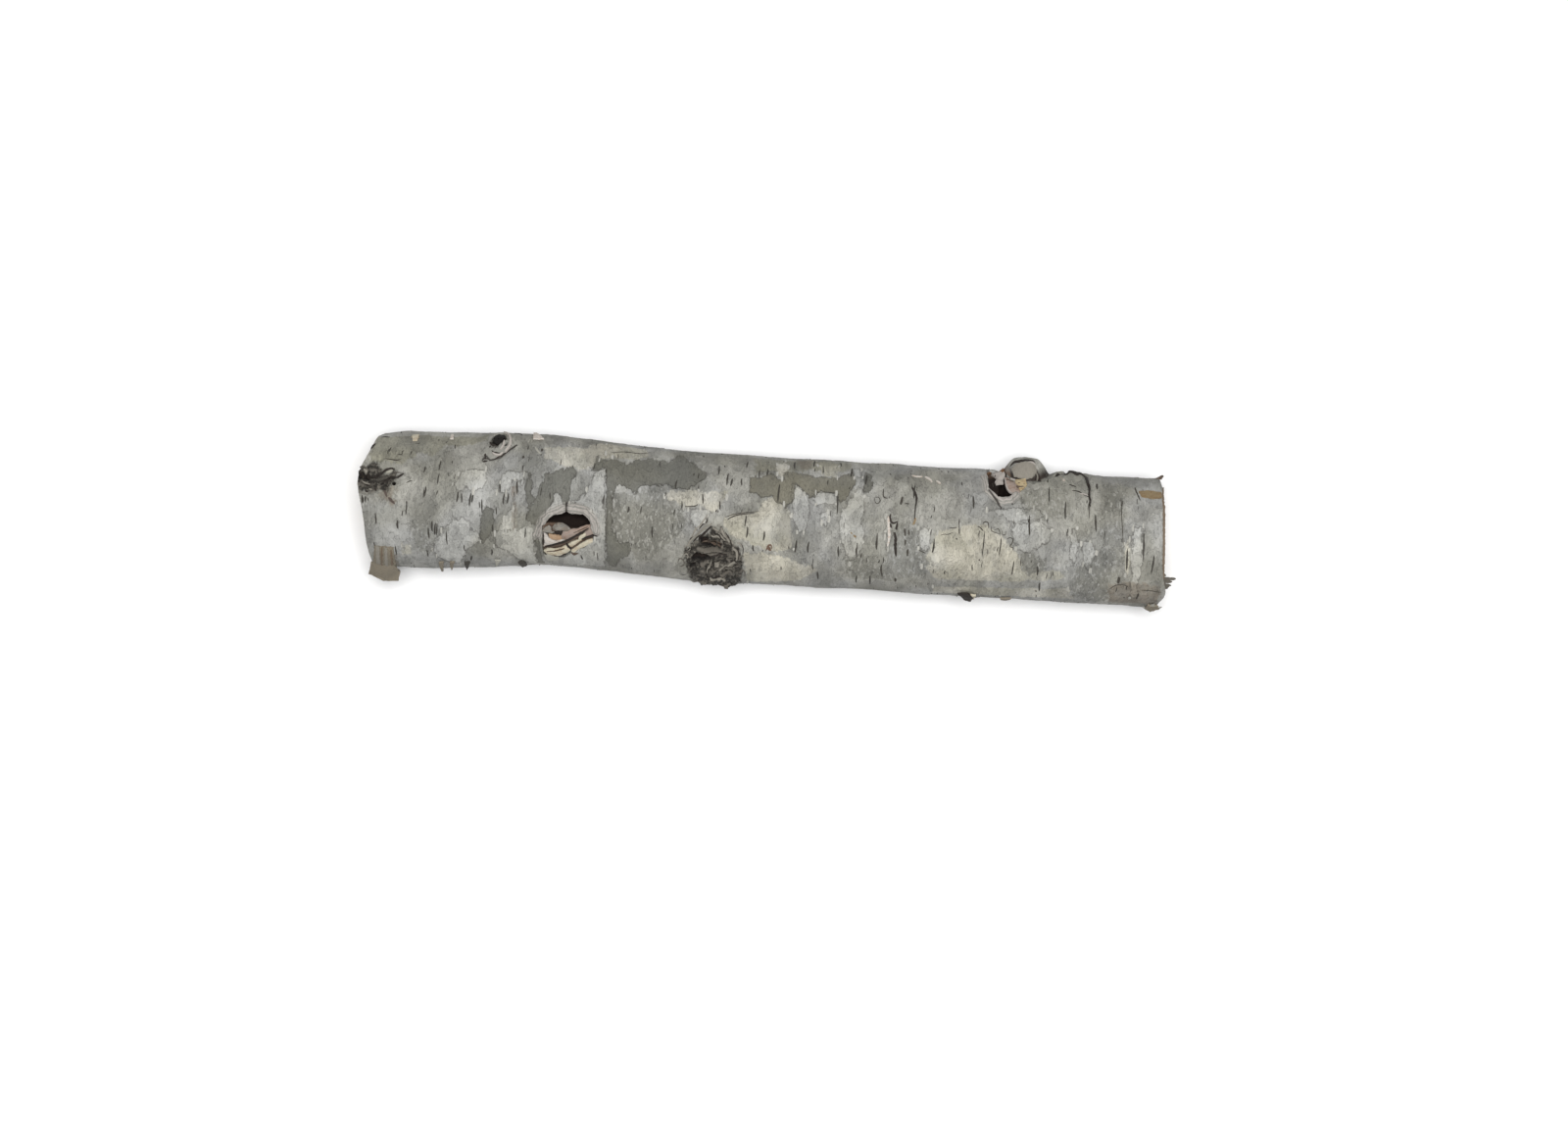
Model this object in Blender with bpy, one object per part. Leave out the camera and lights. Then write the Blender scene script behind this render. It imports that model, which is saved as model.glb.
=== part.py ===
"""A cut length of birch branch, lying on its side as it comes to rest on a table.

Bark and wood grew as one piece, so the branch is one solid: the bent, tapering round of bark with its
knots and torn knot holes, the loose flaps and fibres at its rims, and the two sawn ends.
X runs along the branch, Z is up, and the origin is on the flat that the branch rests on.
"""

import math
from collections import namedtuple

import bmesh
import bpy
import numpy as np
from mathutils import Matrix, Vector, noise

# Lengths are in millimetres and MM turns them into metres. A place on the bark is given by how far it is
# along the branch (x) and how far around it from the topmost line (around, positive towards +Y).
MM = 0.001

# The bark is thickest over its left end and narrows to an even waist, and the branch has one bow.
WAIST_RADIUS = 24.0
BUTT_SWELL = 1.6
BUTT_TO = -120.0
WAIST_FROM = -55.0
LEVEL_SWAY = 0.4
BOW = 2.9
BOW_MIDDLE = -79.0
BOW_WIDTH = 33.0
GIRTH_RADIUS = 24.0

# Sawn ends. The saw leaned, so the left cut reaches furthest at the top and the right one stays square.
LEFT_CUT = -143.0
LEFT_LEAN = 3.2
RIGHT_CUT = 148.4
RIGHT_LEAN = 0.6
BARK_THICKNESS = 2.4
WOOD_SINK = 0.5

# Where each cut's edge runs out past the saw line: how far, at what angle, and over how wide an angle.
Bulge = namedtuple("Bulge", "reach angle width")
LEFT_KNOT_BULGE = Bulge(2.8, 14.0, 22.0)
RIGHT_CORNER_BULGE = Bulge(2.2, -52.0, 16.0)

# The bark's own unevenness: the length of a wave along the branch, how many fit around it, and its height.
Wave = namedtuple("Wave", "length turns height")
BARK_WAVES = (Wave(26.0, 1.0, 0.45), Wave(9.0, 2.6, 0.28))
SCAR_ROUGHNESS = 1.5
SCAR_GRAIN = (2.6, 3.4)

# Underside. The bark is worn flat where the branch rests, in three stretches with small gaps between.
REST_FLAT = 0.7
REST_LIFT = 0.5
REST_SPACING = 100.0
TABLE = (400.0, 100.0, 20.0)

# Mesh density: rings along the branch and points around each, both closer together at the knots.
RINGS = 80
POINTS_AROUND = 56

Knot = namedtuple("Knot", "x around reach girth rise")
KNOTS = {
    "end_knot": Knot(-145.0, 5.0, 12.0, 11.0, 1.3),
    "upper_knot": Knot(-99.0, 25.0, 8.5, 9.0, 1.9),
    "torn_knot": Knot(-71.0, -13.5, 14.0, 15.0, 0.8),
    "black_knot": Knot(-17.0, -26.0, 11.0, 14.5, 2.3),
    "stub": Knot(97.5, 35.0, 9.0, 10.0, 5.6),
    "split_knot": Knot(115.0, 31.0, 9.5, 9.5, 1.9),
    "under_knot": Knot(78.5, -38.0, 4.0, 4.0, 1.5),
    "pale_bud": Knot(34.2, -4.4, 3.2, 3.0, 0.6),
    "red_bud": Knot(3.3, -10.6, 2.4, 2.2, 0.6),
    "back_knot": Knot(40.0, 52.0, 9.0, 10.0, 2.0),
}

# Torn knot hole: where the bark has come away, and the deep dark pocket in its upper third.
TEAR = ((-80.6, -9.6), (-80.8, -16.0), (-80.4, -23.6), (-77.4, -25.4), (-74.0, -24.9), (-71.4, -22.0),
        (-66.8, -18.6), (-62.2, -14.8), (-61.6, -12.0), (-63.2, -8.6), (-71.4, -9.4), (-76.6, -8.6))
TEAR_DEPTH = 1.7
TORN_POCKET = ((-79.8, -9.4), (-78.6, -7.2), (-76.6, -5.5), (-73.6, -5.0), (-72.1, -3.9), (-70.6, -4.7),
               (-66.0, -4.4), (-64.0, -5.6), (-62.6, -8.4), (-65.6, -9.4), (-69.6, -10.4), (-73.4, -8.8))
POCKET_DEPTH = 15.0

# Broken stub: the bark has split away from the left foot of the stub, over a second pocket.
STUB_POCKET = ((82.6, 30.5), (83.0, 17.8), (86.6, 13.8), (91.0, 14.6), (93.2, 17.2), (91.0, 21.0),
               (90.4, 26.0), (89.6, 31.0), (87.8, 37.0), (84.2, 36.4))
STUB_POCKET_DEPTH = 13.0

# Upper knot: the dead twig's small socket. Back knot: the same on the side away from the camera.
TWIG_SOCKET = ((-102.2, 20.6), (-101.6, 25.6), (-98.4, 27.6), (-96.0, 26.2), (-96.6, 23.0), (-99.4, 20.2))
BACK_SOCKET = ((37.4, 50.2), (38.6, 54.2), (42.2, 54.8), (43.2, 51.4), (40.6, 48.8))
SOCKET_DEPTH = 5.0

BEETLE_HOLE = (-135.6, 4.6)
BEETLE_HOLE_RADIUS = 0.75
BEETLE_HOLE_DEPTH = 6.0

# Drying checks in the sawn wood: the angle round the end, how far out from the pith, and the width.
CHECKS = ((100.0, 15.0, 1.1), (215.0, 12.0, 0.9), (335.0, 9.5, 0.8))
CHECK_DEPTH = 5.0

# Layers of inner bark left in the tear, as (x, around, lift) along each torn edge.
TORN_LAYERS = {
    "rolled_bark": ((-80.2, -9.8, -0.6), (-77.6, -9.2, -0.2), (-75.6, -8.2, 0.3), (-73.0, -8.4, 0.3),
                    (-71.2, -10.2, -0.4), (-74.0, -11.6, 0.2), (-77.8, -11.4, -0.2)),
    "pink_strip": ((-80.6, -18.6, -0.9), (-73.0, -15.6, -0.5), (-66.0, -10.4, -0.6), (-63.0, -8.8, -0.7),
                   (-62.4, -11.0, -0.6), (-68.0, -14.8, -0.2), (-74.6, -18.4, -0.2), (-80.4, -20.2, -0.6)),
    "cream_strip": ((-80.4, -21.4, -0.5), (-73.6, -18.8, 0.0), (-67.6, -15.4, 0.1), (-63.4, -12.0, -0.3),
                    (-62.6, -13.6, -0.2), (-67.0, -17.2, 0.3), (-71.4, -20.2, 0.5), (-75.8, -23.6, 0.4),
                    (-80.2, -24.6, 0.1)),
    "stub_flake": ((90.6, 20.6, 0.2), (93.6, 22.4, 1.0), (97.2, 23.4, 2.2), (98.4, 21.6, 2.6),
                   (97.4, 19.4, 2.0), (94.8, 17.2, 0.9), (92.4, 16.6, 0.0)),
}
LAYER_THICKNESS = 1.6

# Ridges of thick old bark that curve round the black knot and the end knot, as (x, around) paths.
RIDGE_PATHS = (
    ((-27.6, -17.0), (-24.0, -11.6), (-19.2, -6.4), (-16.4, -9.0), (-12.4, -13.4)),
    ((-25.4, -19.6), (-20.4, -17.6), (-13.6, -17.8), (-9.6, -20.4)),
    ((-26.6, -25.0), (-22.0, -28.4), (-18.0, -24.6), (-16.6, -29.6)),
    ((-14.4, -22.0), (-9.8, -24.6), (-6.8, -22.8)),
    ((-25.0, -33.0), (-18.4, -36.6), (-11.4, -34.8), (-6.6, -31.6)),
    ((-148.4, 10.4), (-143.0, 8.2), (-138.6, 10.8), (-135.4, 9.8)),
    ((-148.2, 1.6), (-143.4, 3.8), (-139.0, 3.4), (-136.8, 7.0)),
)
RIDGE_WIDTH = 1.5
RIDGE_RISE = 0.9

# Loose bark and fibres at the rims, as (x, around, lift).
RIM_PIECES = {
    "torn_flap": ((-145.0, -30.0, 0.2), (-146.4, -36.6, 3.4), (-141.4, -37.2, 3.2), (-141.2, -38.4, 5.6),
                  (-135.4, -38.2, 5.4), (-134.6, -35.6, 2.0), (-136.6, -29.0, 0.1)),
    "top_curl": ((145.6, 34.0, 0.0), (148.4, 33.6, 0.6), (150.0, 35.4, 1.7), (150.4, 38.4, 2.0),
                 (148.6, 39.4, 1.2), (145.4, 38.2, 0.0)),
    "fibre_1": ((148.4, -13.8, -0.3), (154.2, -14.0, -0.2), (150.4, -15.0, -0.3), (148.4, -15.4, -0.3)),
    "fibre_2": ((148.4, -15.0, -0.5), (153.0, -15.4, -0.6), (150.6, -16.8, -0.5), (148.4, -16.8, -0.5)),
    "fibre_3": ((148.4, -16.6, -0.3), (152.8, -17.4, -0.4), (151.0, -18.6, -0.3), (148.4, -18.4, -0.3)),
    "fibre_4": ((148.4, -18.2, -0.6), (151.8, -19.0, -0.9), (150.6, -20.6, -0.6), (148.4, -20.2, -0.6)),
    "corner_curl": ((145.8, -31.0, 0.0), (149.6, -30.6, 0.3), (150.4, -33.6, 0.5), (147.6, -36.2, 1.0),
                    (145.4, -35.4, 0.2)),
}
RIM_THICKNESS = 1.2

BARK_COLOUR = (0.36, 0.35, 0.32, 1.0)
BARK_ROUGHNESS = 0.75


def smooth(low, high, value):
    """0 below low, 1 above high, and an even rise between them."""
    t = min(max((value - low) / (high - low), 0.0), 1.0)
    return t * t * (3 - 2 * t)


def sway(x):
    """How far the branch's axis lies towards +Y at x."""
    return LEVEL_SWAY + BOW * math.exp(-(((x - BOW_MIDDLE) / BOW_WIDTH) ** 2))


def even_radius(x):
    """The bark's radius at x, before its knots and its unevenness."""
    return WAIST_RADIUS + BUTT_SWELL * smooth(WAIST_FROM, BUTT_TO, x)


def axis_point(x):
    """The branch's centre at x. Its height lets the underside touch the table in three stretches."""
    lift = REST_LIFT * (1 - math.cos(2 * math.pi * x / REST_SPACING))
    return Vector((x, sway(x), even_radius(x) - REST_FLAT + lift))


def away(x, around, knot):
    """How far a place is from a knot's middle, where 1 is the knot's edge."""
    girth = 2 * math.pi * GIRTH_RADIUS
    across = (around - knot.around + girth / 2) % girth - girth / 2
    return math.hypot((x - knot.x) / knot.reach, across / knot.girth)


def knot_relief(x, around):
    """The swelling of the bark over its knots, with the stub's steep sides and the scars' rough middles."""
    rise = 0.0
    for name, knot in KNOTS.items():
        d = away(x, around, knot)
        if d > 2.0:
            continue
        rise += knot.rise * (smooth(1.25, 0.45, d) if name == "stub" else math.exp(-1.6 * d * d))
        if name in ("black_knot", "end_knot"):
            rough = noise.noise(Vector((x / SCAR_GRAIN[0], around / SCAR_GRAIN[1], 3.0)))
            rise += SCAR_ROUGHNESS * rough * smooth(1.1, 0.7, d)
    return rise


def bark_radius(x, turn):
    """The distance from the axis to the bark's surface."""
    uneven = 0.0
    for wave in BARK_WAVES:
        spot = Vector((x / wave.length, wave.turns * math.cos(turn), wave.turns * math.sin(turn)))
        uneven += wave.height * noise.noise(spot)
    return even_radius(x) + uneven + knot_relief(x, turn * GIRTH_RADIUS)


def place(x, around, lift=0.0):
    """The point on the bark at x and around, raised by lift."""
    turn = around / GIRTH_RADIUS
    out = Vector((0.0, math.sin(turn), math.cos(turn)))
    return axis_point(x) + out * (bark_radius(x, turn) + lift)


def reach_of(bulge, turn):
    return bulge.reach * math.exp(-(((math.degrees(turn) - bulge.angle) / bulge.width) ** 2))


def left_end(turn):
    """Where the left cut meets the bark. It runs out over the knot that the saw went through."""
    return LEFT_CUT - LEFT_LEAN * math.cos(turn) - reach_of(LEFT_KNOT_BULGE, turn)


def right_end(turn):
    """Where the right cut meets the bark. Its lower front corner was broken off, not sawn."""
    return RIGHT_CUT - RIGHT_LEAN * math.sin(turn) + reach_of(RIGHT_CORNER_BULGE, turn)


def spread(count, low, high, density):
    """count + 1 places from low to high, closer together where density is larger."""
    fine = np.linspace(low, high, 2000)
    total = np.concatenate(([0.0], np.cumsum([density(v) for v in fine[1:]])))
    return np.interp(np.linspace(0, total[-1], count + 1), total, fine)


def ring_density(x):
    near = sum(math.exp(-(((x - k.x) / (k.reach + 3.0)) ** 2)) for k in KNOTS.values() if k.rise > 0.7)
    return 1.0 + 2.2 * min(near, 1.0)


def around_density(turn):
    """Most points are on the upper side, where the knots are, and fewest underneath."""
    return 1.6 + math.cos(turn - math.radians(5))


def object_from(bm, name, collection):
    mesh = bpy.data.meshes.new(name)
    bmesh.ops.recalc_face_normals(bm, faces=bm.faces)
    bm.to_mesh(mesh)
    bm.free()
    made = bpy.data.objects.new(name, mesh)
    collection.objects.link(made)
    return made


def make_log(collection):
    """The whole branch as a capped cylinder whose points are moved to the bark and the sawn faces."""
    rows = spread(RINGS, 0.0, 1.0, lambda t: ring_density(LEFT_CUT + t * (RIGHT_CUT - LEFT_CUT)))
    turns = spread(POINTS_AROUND, -math.pi, math.pi, around_density)
    bm = bmesh.new()
    bmesh.ops.create_cone(bm, cap_ends=True, segments=POINTS_AROUND, radius1=1, radius2=1, depth=1,
                          matrix=Matrix.Rotation(math.pi / 2, 4, "Y"))
    lengthwise = [e for e in bm.edges if abs(e.verts[0].co.x - e.verts[1].co.x) > 0.5]
    bmesh.ops.subdivide_edges(bm, edges=lengthwise, cuts=RINGS - 1, use_grid_fill=True)
    ends = [f for f in bm.faces if len(f.verts) > 4]
    rim = BARK_THICKNESS / GIRTH_RADIUS
    for inset in (rim, 0.5):
        bmesh.ops.inset_region(bm, faces=ends, thickness=inset, use_even_offset=True)
    bmesh.ops.poke(bm, faces=ends)
    for v in bm.verts:
        outward = math.hypot(v.co.y, v.co.z)
        step = round((math.atan2(v.co.y, v.co.z) / (2 * math.pi) + 0.5) * POINTS_AROUND)
        turn = turns[step % POINTS_AROUND]
        row = rows[round((v.co.x + 0.5) * RINGS)]
        left, right = left_end(turn), right_end(turn)
        x = left + row * (right - left)
        bark = place(x, turn * GIRTH_RADIUS)
        if outward > 0.99:
            v.co = bark
            continue
        side = 1 if row > 0.5 else -1
        cut = (RIGHT_CUT if side > 0 else LEFT_CUT) - side * WOOD_SINK
        grain = 0.4 * noise.noise(Vector((side * 5.0, 3 * v.co.y, 3 * v.co.z)))
        flat_x = cut + grain + (x - cut) * outward * outward
        middle = axis_point(x)
        v.co = middle + (bark - middle) * outward
        v.co.x = flat_x
    return object_from(bm, "birch_branch", collection)


def make_plate(name, outline, thickness, collection, above=0.0):
    """A plate that follows the bark, from above its surface down by thickness.

    The outline's points are (x, around) or (x, around, lift). The plate is made flat and then wrapped.
    """
    bm = bmesh.new()
    corners = [bm.verts.new((p[0], p[1], (p[2] if len(p) > 2 else 0.0) + above)) for p in outline]
    faces = bmesh.ops.triangulate(bm, faces=[bm.faces.new(corners)])["faces"]
    grown = bmesh.ops.extrude_face_region(bm, geom=faces)["geom"]
    lower = [g for g in grown if isinstance(g, bmesh.types.BMVert)]
    bmesh.ops.translate(bm, verts=lower, vec=(0.0, 0.0, -thickness))
    for v in bm.verts:
        v.co = place(*v.co)
    return object_from(bm, name, collection)


def make_ridge(name, path, collection):
    """A ridge of old bark along a path, widest in its middle, sunk well into the bark."""
    left, right = [], []
    for i, (x, around) in enumerate(path):
        ahead = path[min(i + 1, len(path) - 1)]
        behind = path[max(i - 1, 0)]
        way = Vector((ahead[0] - behind[0], ahead[1] - behind[1])).normalized()
        half = RIDGE_WIDTH * (0.35 if i in (0, len(path) - 1) else 0.6)
        left.append((x - way.y * half, around + way.x * half, RIDGE_RISE))
        right.append((x + way.y * half, around - way.x * half, RIDGE_RISE))
    return make_plate(name, left + right[::-1], RIDGE_RISE + 2.2, collection)


def make_table(collection):
    """What wears the underside flat: a block whose top is the surface that the branch lies on."""
    bm = bmesh.new()
    bmesh.ops.create_cube(bm, size=1.0)
    bmesh.ops.scale(bm, verts=bm.verts, vec=TABLE)
    bmesh.ops.translate(bm, verts=bm.verts, vec=(0.0, 0.0, -TABLE[2] / 2))
    return object_from(bm, "table", collection)


def make_beetle_hole(collection):
    bm = bmesh.new()
    bmesh.ops.create_cone(bm, cap_ends=True, segments=10, radius1=BEETLE_HOLE_RADIUS,
                          radius2=BEETLE_HOLE_RADIUS, depth=2 * BEETLE_HOLE_DEPTH)
    turn = BEETLE_HOLE[1] / GIRTH_RADIUS
    bmesh.ops.rotate(bm, verts=bm.verts, matrix=Matrix.Rotation(-turn, 3, "X"))
    bmesh.ops.translate(bm, verts=bm.verts, vec=place(*BEETLE_HOLE))
    return object_from(bm, "beetle_hole", collection)


def make_check(name, side, check, collection):
    """A drying check: a narrow wedge that opens outwards from the pith in one sawn end."""
    angle, reach, width = check
    end = RIGHT_CUT if side > 0 else LEFT_CUT
    bm = bmesh.new()
    bmesh.ops.create_cube(bm, size=1.0)
    for v in bm.verts:
        outward = v.co.z + 0.5
        v.co = Vector((v.co.x * 2 * CHECK_DEPTH, v.co.y * width * (0.35 + 0.65 * outward), 1.0 + outward * reach))
    bmesh.ops.rotate(bm, verts=bm.verts, matrix=Matrix.Rotation(math.radians(angle * side), 3, "X"))
    bmesh.ops.translate(bm, verts=bm.verts, vec=axis_point(end))
    return object_from(bm, name, collection)


def join(log, collection, operation):
    """Cuts or adds every object of a collection, then removes them."""
    modifier = log.modifiers.new(operation.lower(), "BOOLEAN")
    modifier.operation = operation
    modifier.operand_type = "COLLECTION"
    modifier.collection = collection
    modifier.solver = "MANIFOLD"
    bpy.context.view_layer.update()
    graph = bpy.context.evaluated_depsgraph_get()
    joined = bpy.data.meshes.new_from_object(log.evaluated_get(graph))
    log.modifiers.remove(modifier)
    log.data = joined
    for used in list(collection.objects):
        bpy.data.objects.remove(used)
    bpy.data.collections.remove(collection)


def bark_material():
    material = bpy.data.materials.new("birch_bark")
    material.use_nodes = True
    shader = material.node_tree.nodes["Principled BSDF"]
    shader.inputs["Base Color"].default_value = BARK_COLOUR
    shader.inputs["Roughness"].default_value = BARK_ROUGHNESS
    shader.inputs["Metallic"].default_value = 0.0
    return material


def new_collection(name):
    made = bpy.data.collections.new(name)
    bpy.context.scene.collection.children.link(made)
    return made


def main():
    for old in list(bpy.data.objects):
        bpy.data.objects.remove(old)
    branch = new_collection("birch_branch")
    log = make_log(branch)

    cutters = new_collection("cutters")
    make_table(cutters)
    make_plate("tear", TEAR, TEAR_DEPTH + 2.0, cutters, above=2.0)
    make_plate("torn_pocket", TORN_POCKET, POCKET_DEPTH, cutters, above=2.0)
    make_plate("stub_pocket", STUB_POCKET, STUB_POCKET_DEPTH, cutters, above=3.0)
    make_plate("twig_socket", TWIG_SOCKET, SOCKET_DEPTH, cutters, above=1.5)
    make_plate("back_socket", BACK_SOCKET, SOCKET_DEPTH, cutters, above=1.5)
    make_beetle_hole(cutters)
    for side, end in ((-1, "left"), (1, "right")):
        for i, check in enumerate(CHECKS):
            make_check(f"{end}_check_{i}", side, check, cutters)
    join(log, cutters, "DIFFERENCE")

    loose = new_collection("loose_bark")
    for name, outline in TORN_LAYERS.items():
        make_plate(name, outline, LAYER_THICKNESS, loose)
    for i, path in enumerate(RIDGE_PATHS):
        make_ridge(f"ridge_{i}", path, loose)
    for name, outline in RIM_PIECES.items():
        make_plate(name, outline, RIM_THICKNESS, loose)
    join(log, loose, "UNION")

    log.data.transform(Matrix.Scale(MM, 4))
    log.data.materials.clear()
    log.data.materials.append(bark_material())
    log.data.shade_smooth()
    log.data.set_sharp_from_angle(angle=math.radians(40))


main()
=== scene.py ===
import math
import random
from collections import namedtuple

import bmesh
import bpy
import numpy as np
from mathutils import Matrix, Vector, noise


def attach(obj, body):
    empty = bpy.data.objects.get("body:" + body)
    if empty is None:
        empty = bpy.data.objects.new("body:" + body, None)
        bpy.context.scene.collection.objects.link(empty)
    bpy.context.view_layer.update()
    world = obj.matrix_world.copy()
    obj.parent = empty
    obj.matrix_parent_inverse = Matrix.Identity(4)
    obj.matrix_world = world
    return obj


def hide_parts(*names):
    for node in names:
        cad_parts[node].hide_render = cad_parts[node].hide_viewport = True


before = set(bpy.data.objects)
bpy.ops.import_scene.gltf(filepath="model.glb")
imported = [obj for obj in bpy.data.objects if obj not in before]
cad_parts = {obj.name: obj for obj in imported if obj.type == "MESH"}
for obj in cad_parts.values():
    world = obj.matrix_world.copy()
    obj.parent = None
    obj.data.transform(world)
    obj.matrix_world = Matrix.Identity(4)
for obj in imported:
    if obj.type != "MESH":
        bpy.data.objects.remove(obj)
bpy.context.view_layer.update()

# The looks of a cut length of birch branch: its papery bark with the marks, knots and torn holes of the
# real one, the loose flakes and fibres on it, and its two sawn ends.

NODE = "birch_branch"
BODY = "root"

# Lengths are in millimetres and MM turns them into metres. A place on the bark is given by how far it is
# along the branch (x) and how far around it from the topmost line (around, positive towards +Y).
MM = 0.001

# The bark is thickest over its left end and narrows to an even waist, and the branch has one bow, as in
# the solid.
WAIST_RADIUS = 24.0
BUTT_SWELL = 1.6
BUTT_TO = -120.0
WAIST_FROM = -55.0
LEVEL_SWAY = 0.4
BOW = 2.9
BOW_MIDDLE = -79.0
BOW_WIDTH = 33.0
GIRTH_RADIUS = 24.0
GIRTH = 2 * math.pi * GIRTH_RADIUS
LEFT_CUT = -143.0
LEFT_LEAN = 3.2
RIGHT_CUT = 148.4
RIGHT_LEAN = 0.6
BARK_THICKNESS = 2.4
REST_FLAT = 0.7
REST_LIFT = 0.5
REST_SPACING = 100.0

Bulge = namedtuple("Bulge", "reach angle width")
LEFT_KNOT_BULGE = Bulge(2.8, 14.0, 22.0)
RIGHT_CORNER_BULGE = Bulge(2.2, -52.0, 16.0)

Wave = namedtuple("Wave", "length turns height")
BARK_WAVES = (Wave(26.0, 1.0, 0.45), Wave(9.0, 2.6, 0.28))
SCAR_ROUGHNESS = 1.5
SCAR_GRAIN = (2.6, 3.4)

Knot = namedtuple("Knot", "x around reach girth rise")
KNOTS = {
    "end_knot": Knot(-145.0, 5.0, 12.0, 11.0, 1.3),
    "upper_knot": Knot(-99.0, 25.0, 8.5, 9.0, 1.9),
    "torn_knot": Knot(-71.0, -13.5, 14.0, 15.0, 0.8),
    "black_knot": Knot(-17.0, -26.0, 11.0, 14.5, 2.3),
    "stub": Knot(97.5, 35.0, 9.0, 10.0, 5.6),
    "split_knot": Knot(115.0, 31.0, 9.5, 9.5, 1.9),
    "under_knot": Knot(78.5, -38.0, 4.0, 4.0, 1.5),
    "pale_bud": Knot(34.2, -4.4, 3.2, 3.0, 0.6),
    "red_bud": Knot(3.3, -10.6, 2.4, 2.2, 0.6),
    "back_knot": Knot(40.0, 52.0, 9.0, 10.0, 2.0),
}

# The camera looks straight down, as the photograph was taken, turned a little about its own axis.
PHOTO_WIDTH = 1600
PHOTO_HEIGHT = 1164
MM_PER_PIXEL = 0.369
CAMERA_SPOT = (9.18, -17.95)
CAMERA_RISE = 1100.0
CAMERA_ROLL = math.radians(3.34)
AXIS_HEIGHT = 24.0
SENSOR_WIDTH = 36.0

# Marks on the bark, as they were read in enlarged views of the photograph. A View is where in the
# photograph its corner is and how many times it is enlarged. The camera's own geometry turns the places
# into places on the bark.
View = namedtuple("View", "left top zoom")
WHOLE = View(0, 0, 1.0)
LEFT_THIRD = View(350, 420, 5.407)
MIDDLE_THIRD = View(600, 430, 5.227)
RIGHT_THIRD = View(860, 440, 4.3556)
END_KNOT_VIEW = View(362, 436, 19.6)
UPPER_KNOT_VIEW = View(480, 434, 19.6)
BLACK_KNOT_VIEW = View(690, 515, 17.42)
SMUDGE_VIEW = View(860, 470, 12.06)
INSECT_VIEW = View(950, 525, 14.255)
STUB_VIEW = View(1000, 460, 12.06)
RIM_VIEW = View(1130, 470, 10.116)

# Darker peeled bark, by how deep it has peeled, and paler, cream, olive and brown layers.
DARK_PATCHES = {
    "lens": (LEFT_THIRD, (755, 575), (790, 530), (835, 545), (838, 640), (800, 705), (770, 725), (758, 680)),
    "beside_hole": (LEFT_THIRD, (1130, 330), (1165, 345), (1205, 310), (1235, 335), (1262, 290), (1295, 330),
        (1262, 380), (1250, 480), (1235, 520), (1215, 510), (1190, 450), (1165, 450), (1155, 500),
        (1105, 560), (1085, 620), (1080, 700), (1085, 760), (1110, 835), (1080, 835), (1060, 740),
        (1058, 620), (1015, 590), (1020, 530), (1060, 480), (1085, 430), (1100, 395)),
    "strip": (LEFT_THIRD, (1015, 330), (1040, 335), (1050, 400), (1035, 440), (1060, 480), (1040, 520),
        (1018, 500), (1008, 430)),
    "tooth": (LEFT_THIRD, (1370, 325), (1400, 265), (1415, 240), (1425, 265), (1455, 268), (1440, 310),
        (1400, 325)),
    "band": (MIDDLE_THIRD, (100, 225), (130, 195), (200, 225), (285, 198), (350, 200), (450, 215),
        (478, 178), (510, 185), (560, 225), (640, 290), (600, 320), (540, 358), (480, 362), (400, 330),
        (330, 342), (270, 332), (250, 390), (200, 345), (160, 332), (138, 380), (125, 480), (140, 600),
        (155, 650), (225, 650), (230, 700), (160, 748), (130, 775), (105, 760), (94, 690), (100, 500),
        (96, 330)),
    "olive_dark": (MIDDLE_THIRD, (865, 300), (885, 285), (920, 300), (985, 268), (1015, 305), (1040, 308),
        (1055, 268), (1160, 285), (1255, 300), (1330, 300), (1410, 268), (1435, 330), (1395, 385),
        (1350, 440), (1328, 385), (1240, 370), (1190, 412), (1155, 375), (1100, 330), (1092, 420),
        (1060, 460), (1010, 430), (985, 398), (935, 410), (905, 385), (860, 370)),
    "beside_spike": (MIDDLE_THIRD, (1470, 270), (1510, 280), (1520, 330), (1500, 385), (1475, 380)),
}
MIDDLE_PATCHES = {
    "smudge_ground": (WHOLE, (904, 545), (918, 534), (937, 533), (940, 560), (936, 588), (915, 588),
        (905, 570)),
    "left_of_smudge": (WHOLE, (862, 568), (905, 566), (908, 592), (862, 590)),
    "under_stub": (WHOLE, (1040, 504), (1062, 497), (1090, 500), (1095, 526), (1066, 533), (1044, 524)),
    "right_band": (WHOLE, (1127, 505), (1145, 500), (1147, 575), (1128, 580)),
    "right_low": (WHOLE, (1096, 586), (1112, 572), (1132, 580), (1134, 612), (1096, 610)),
    "mottled": (MIDDLE_THIRD, (110, 380), (240, 395), (330, 345), (430, 340), (400, 440), (500, 470),
        (520, 560), (440, 640), (330, 740), (240, 745), (230, 650), (150, 640), (125, 500)),
    "smudge": (RIGHT_THIRD, (220, 440), (260, 420), (330, 440), (350, 540), (380, 590), (360, 640),
        (240, 660), (180, 660), (120, 640), (190, 585), (225, 540)),
    "right_1": (RIGHT_THIRD, (790, 548), (830, 540), (880, 552), (905, 575), (895, 620), (830, 640),
        (790, 610)),
    "right_2": (RIGHT_THIRD, (1040, 600), (1100, 590), (1120, 540), (1170, 530), (1240, 600), (1200, 650),
        (1175, 740), (1120, 760), (1045, 740), (1035, 660)),
    "right_3": (RIGHT_THIRD, (1140, 340), (1240, 335), (1245, 420), (1235, 500), (1150, 510), (1130, 440)),
    "left_low": (LEFT_THIRD, (380, 600), (480, 610), (540, 640), (590, 610), (580, 650), (520, 700),
        (490, 780), (420, 760), (390, 700)),
}
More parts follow.
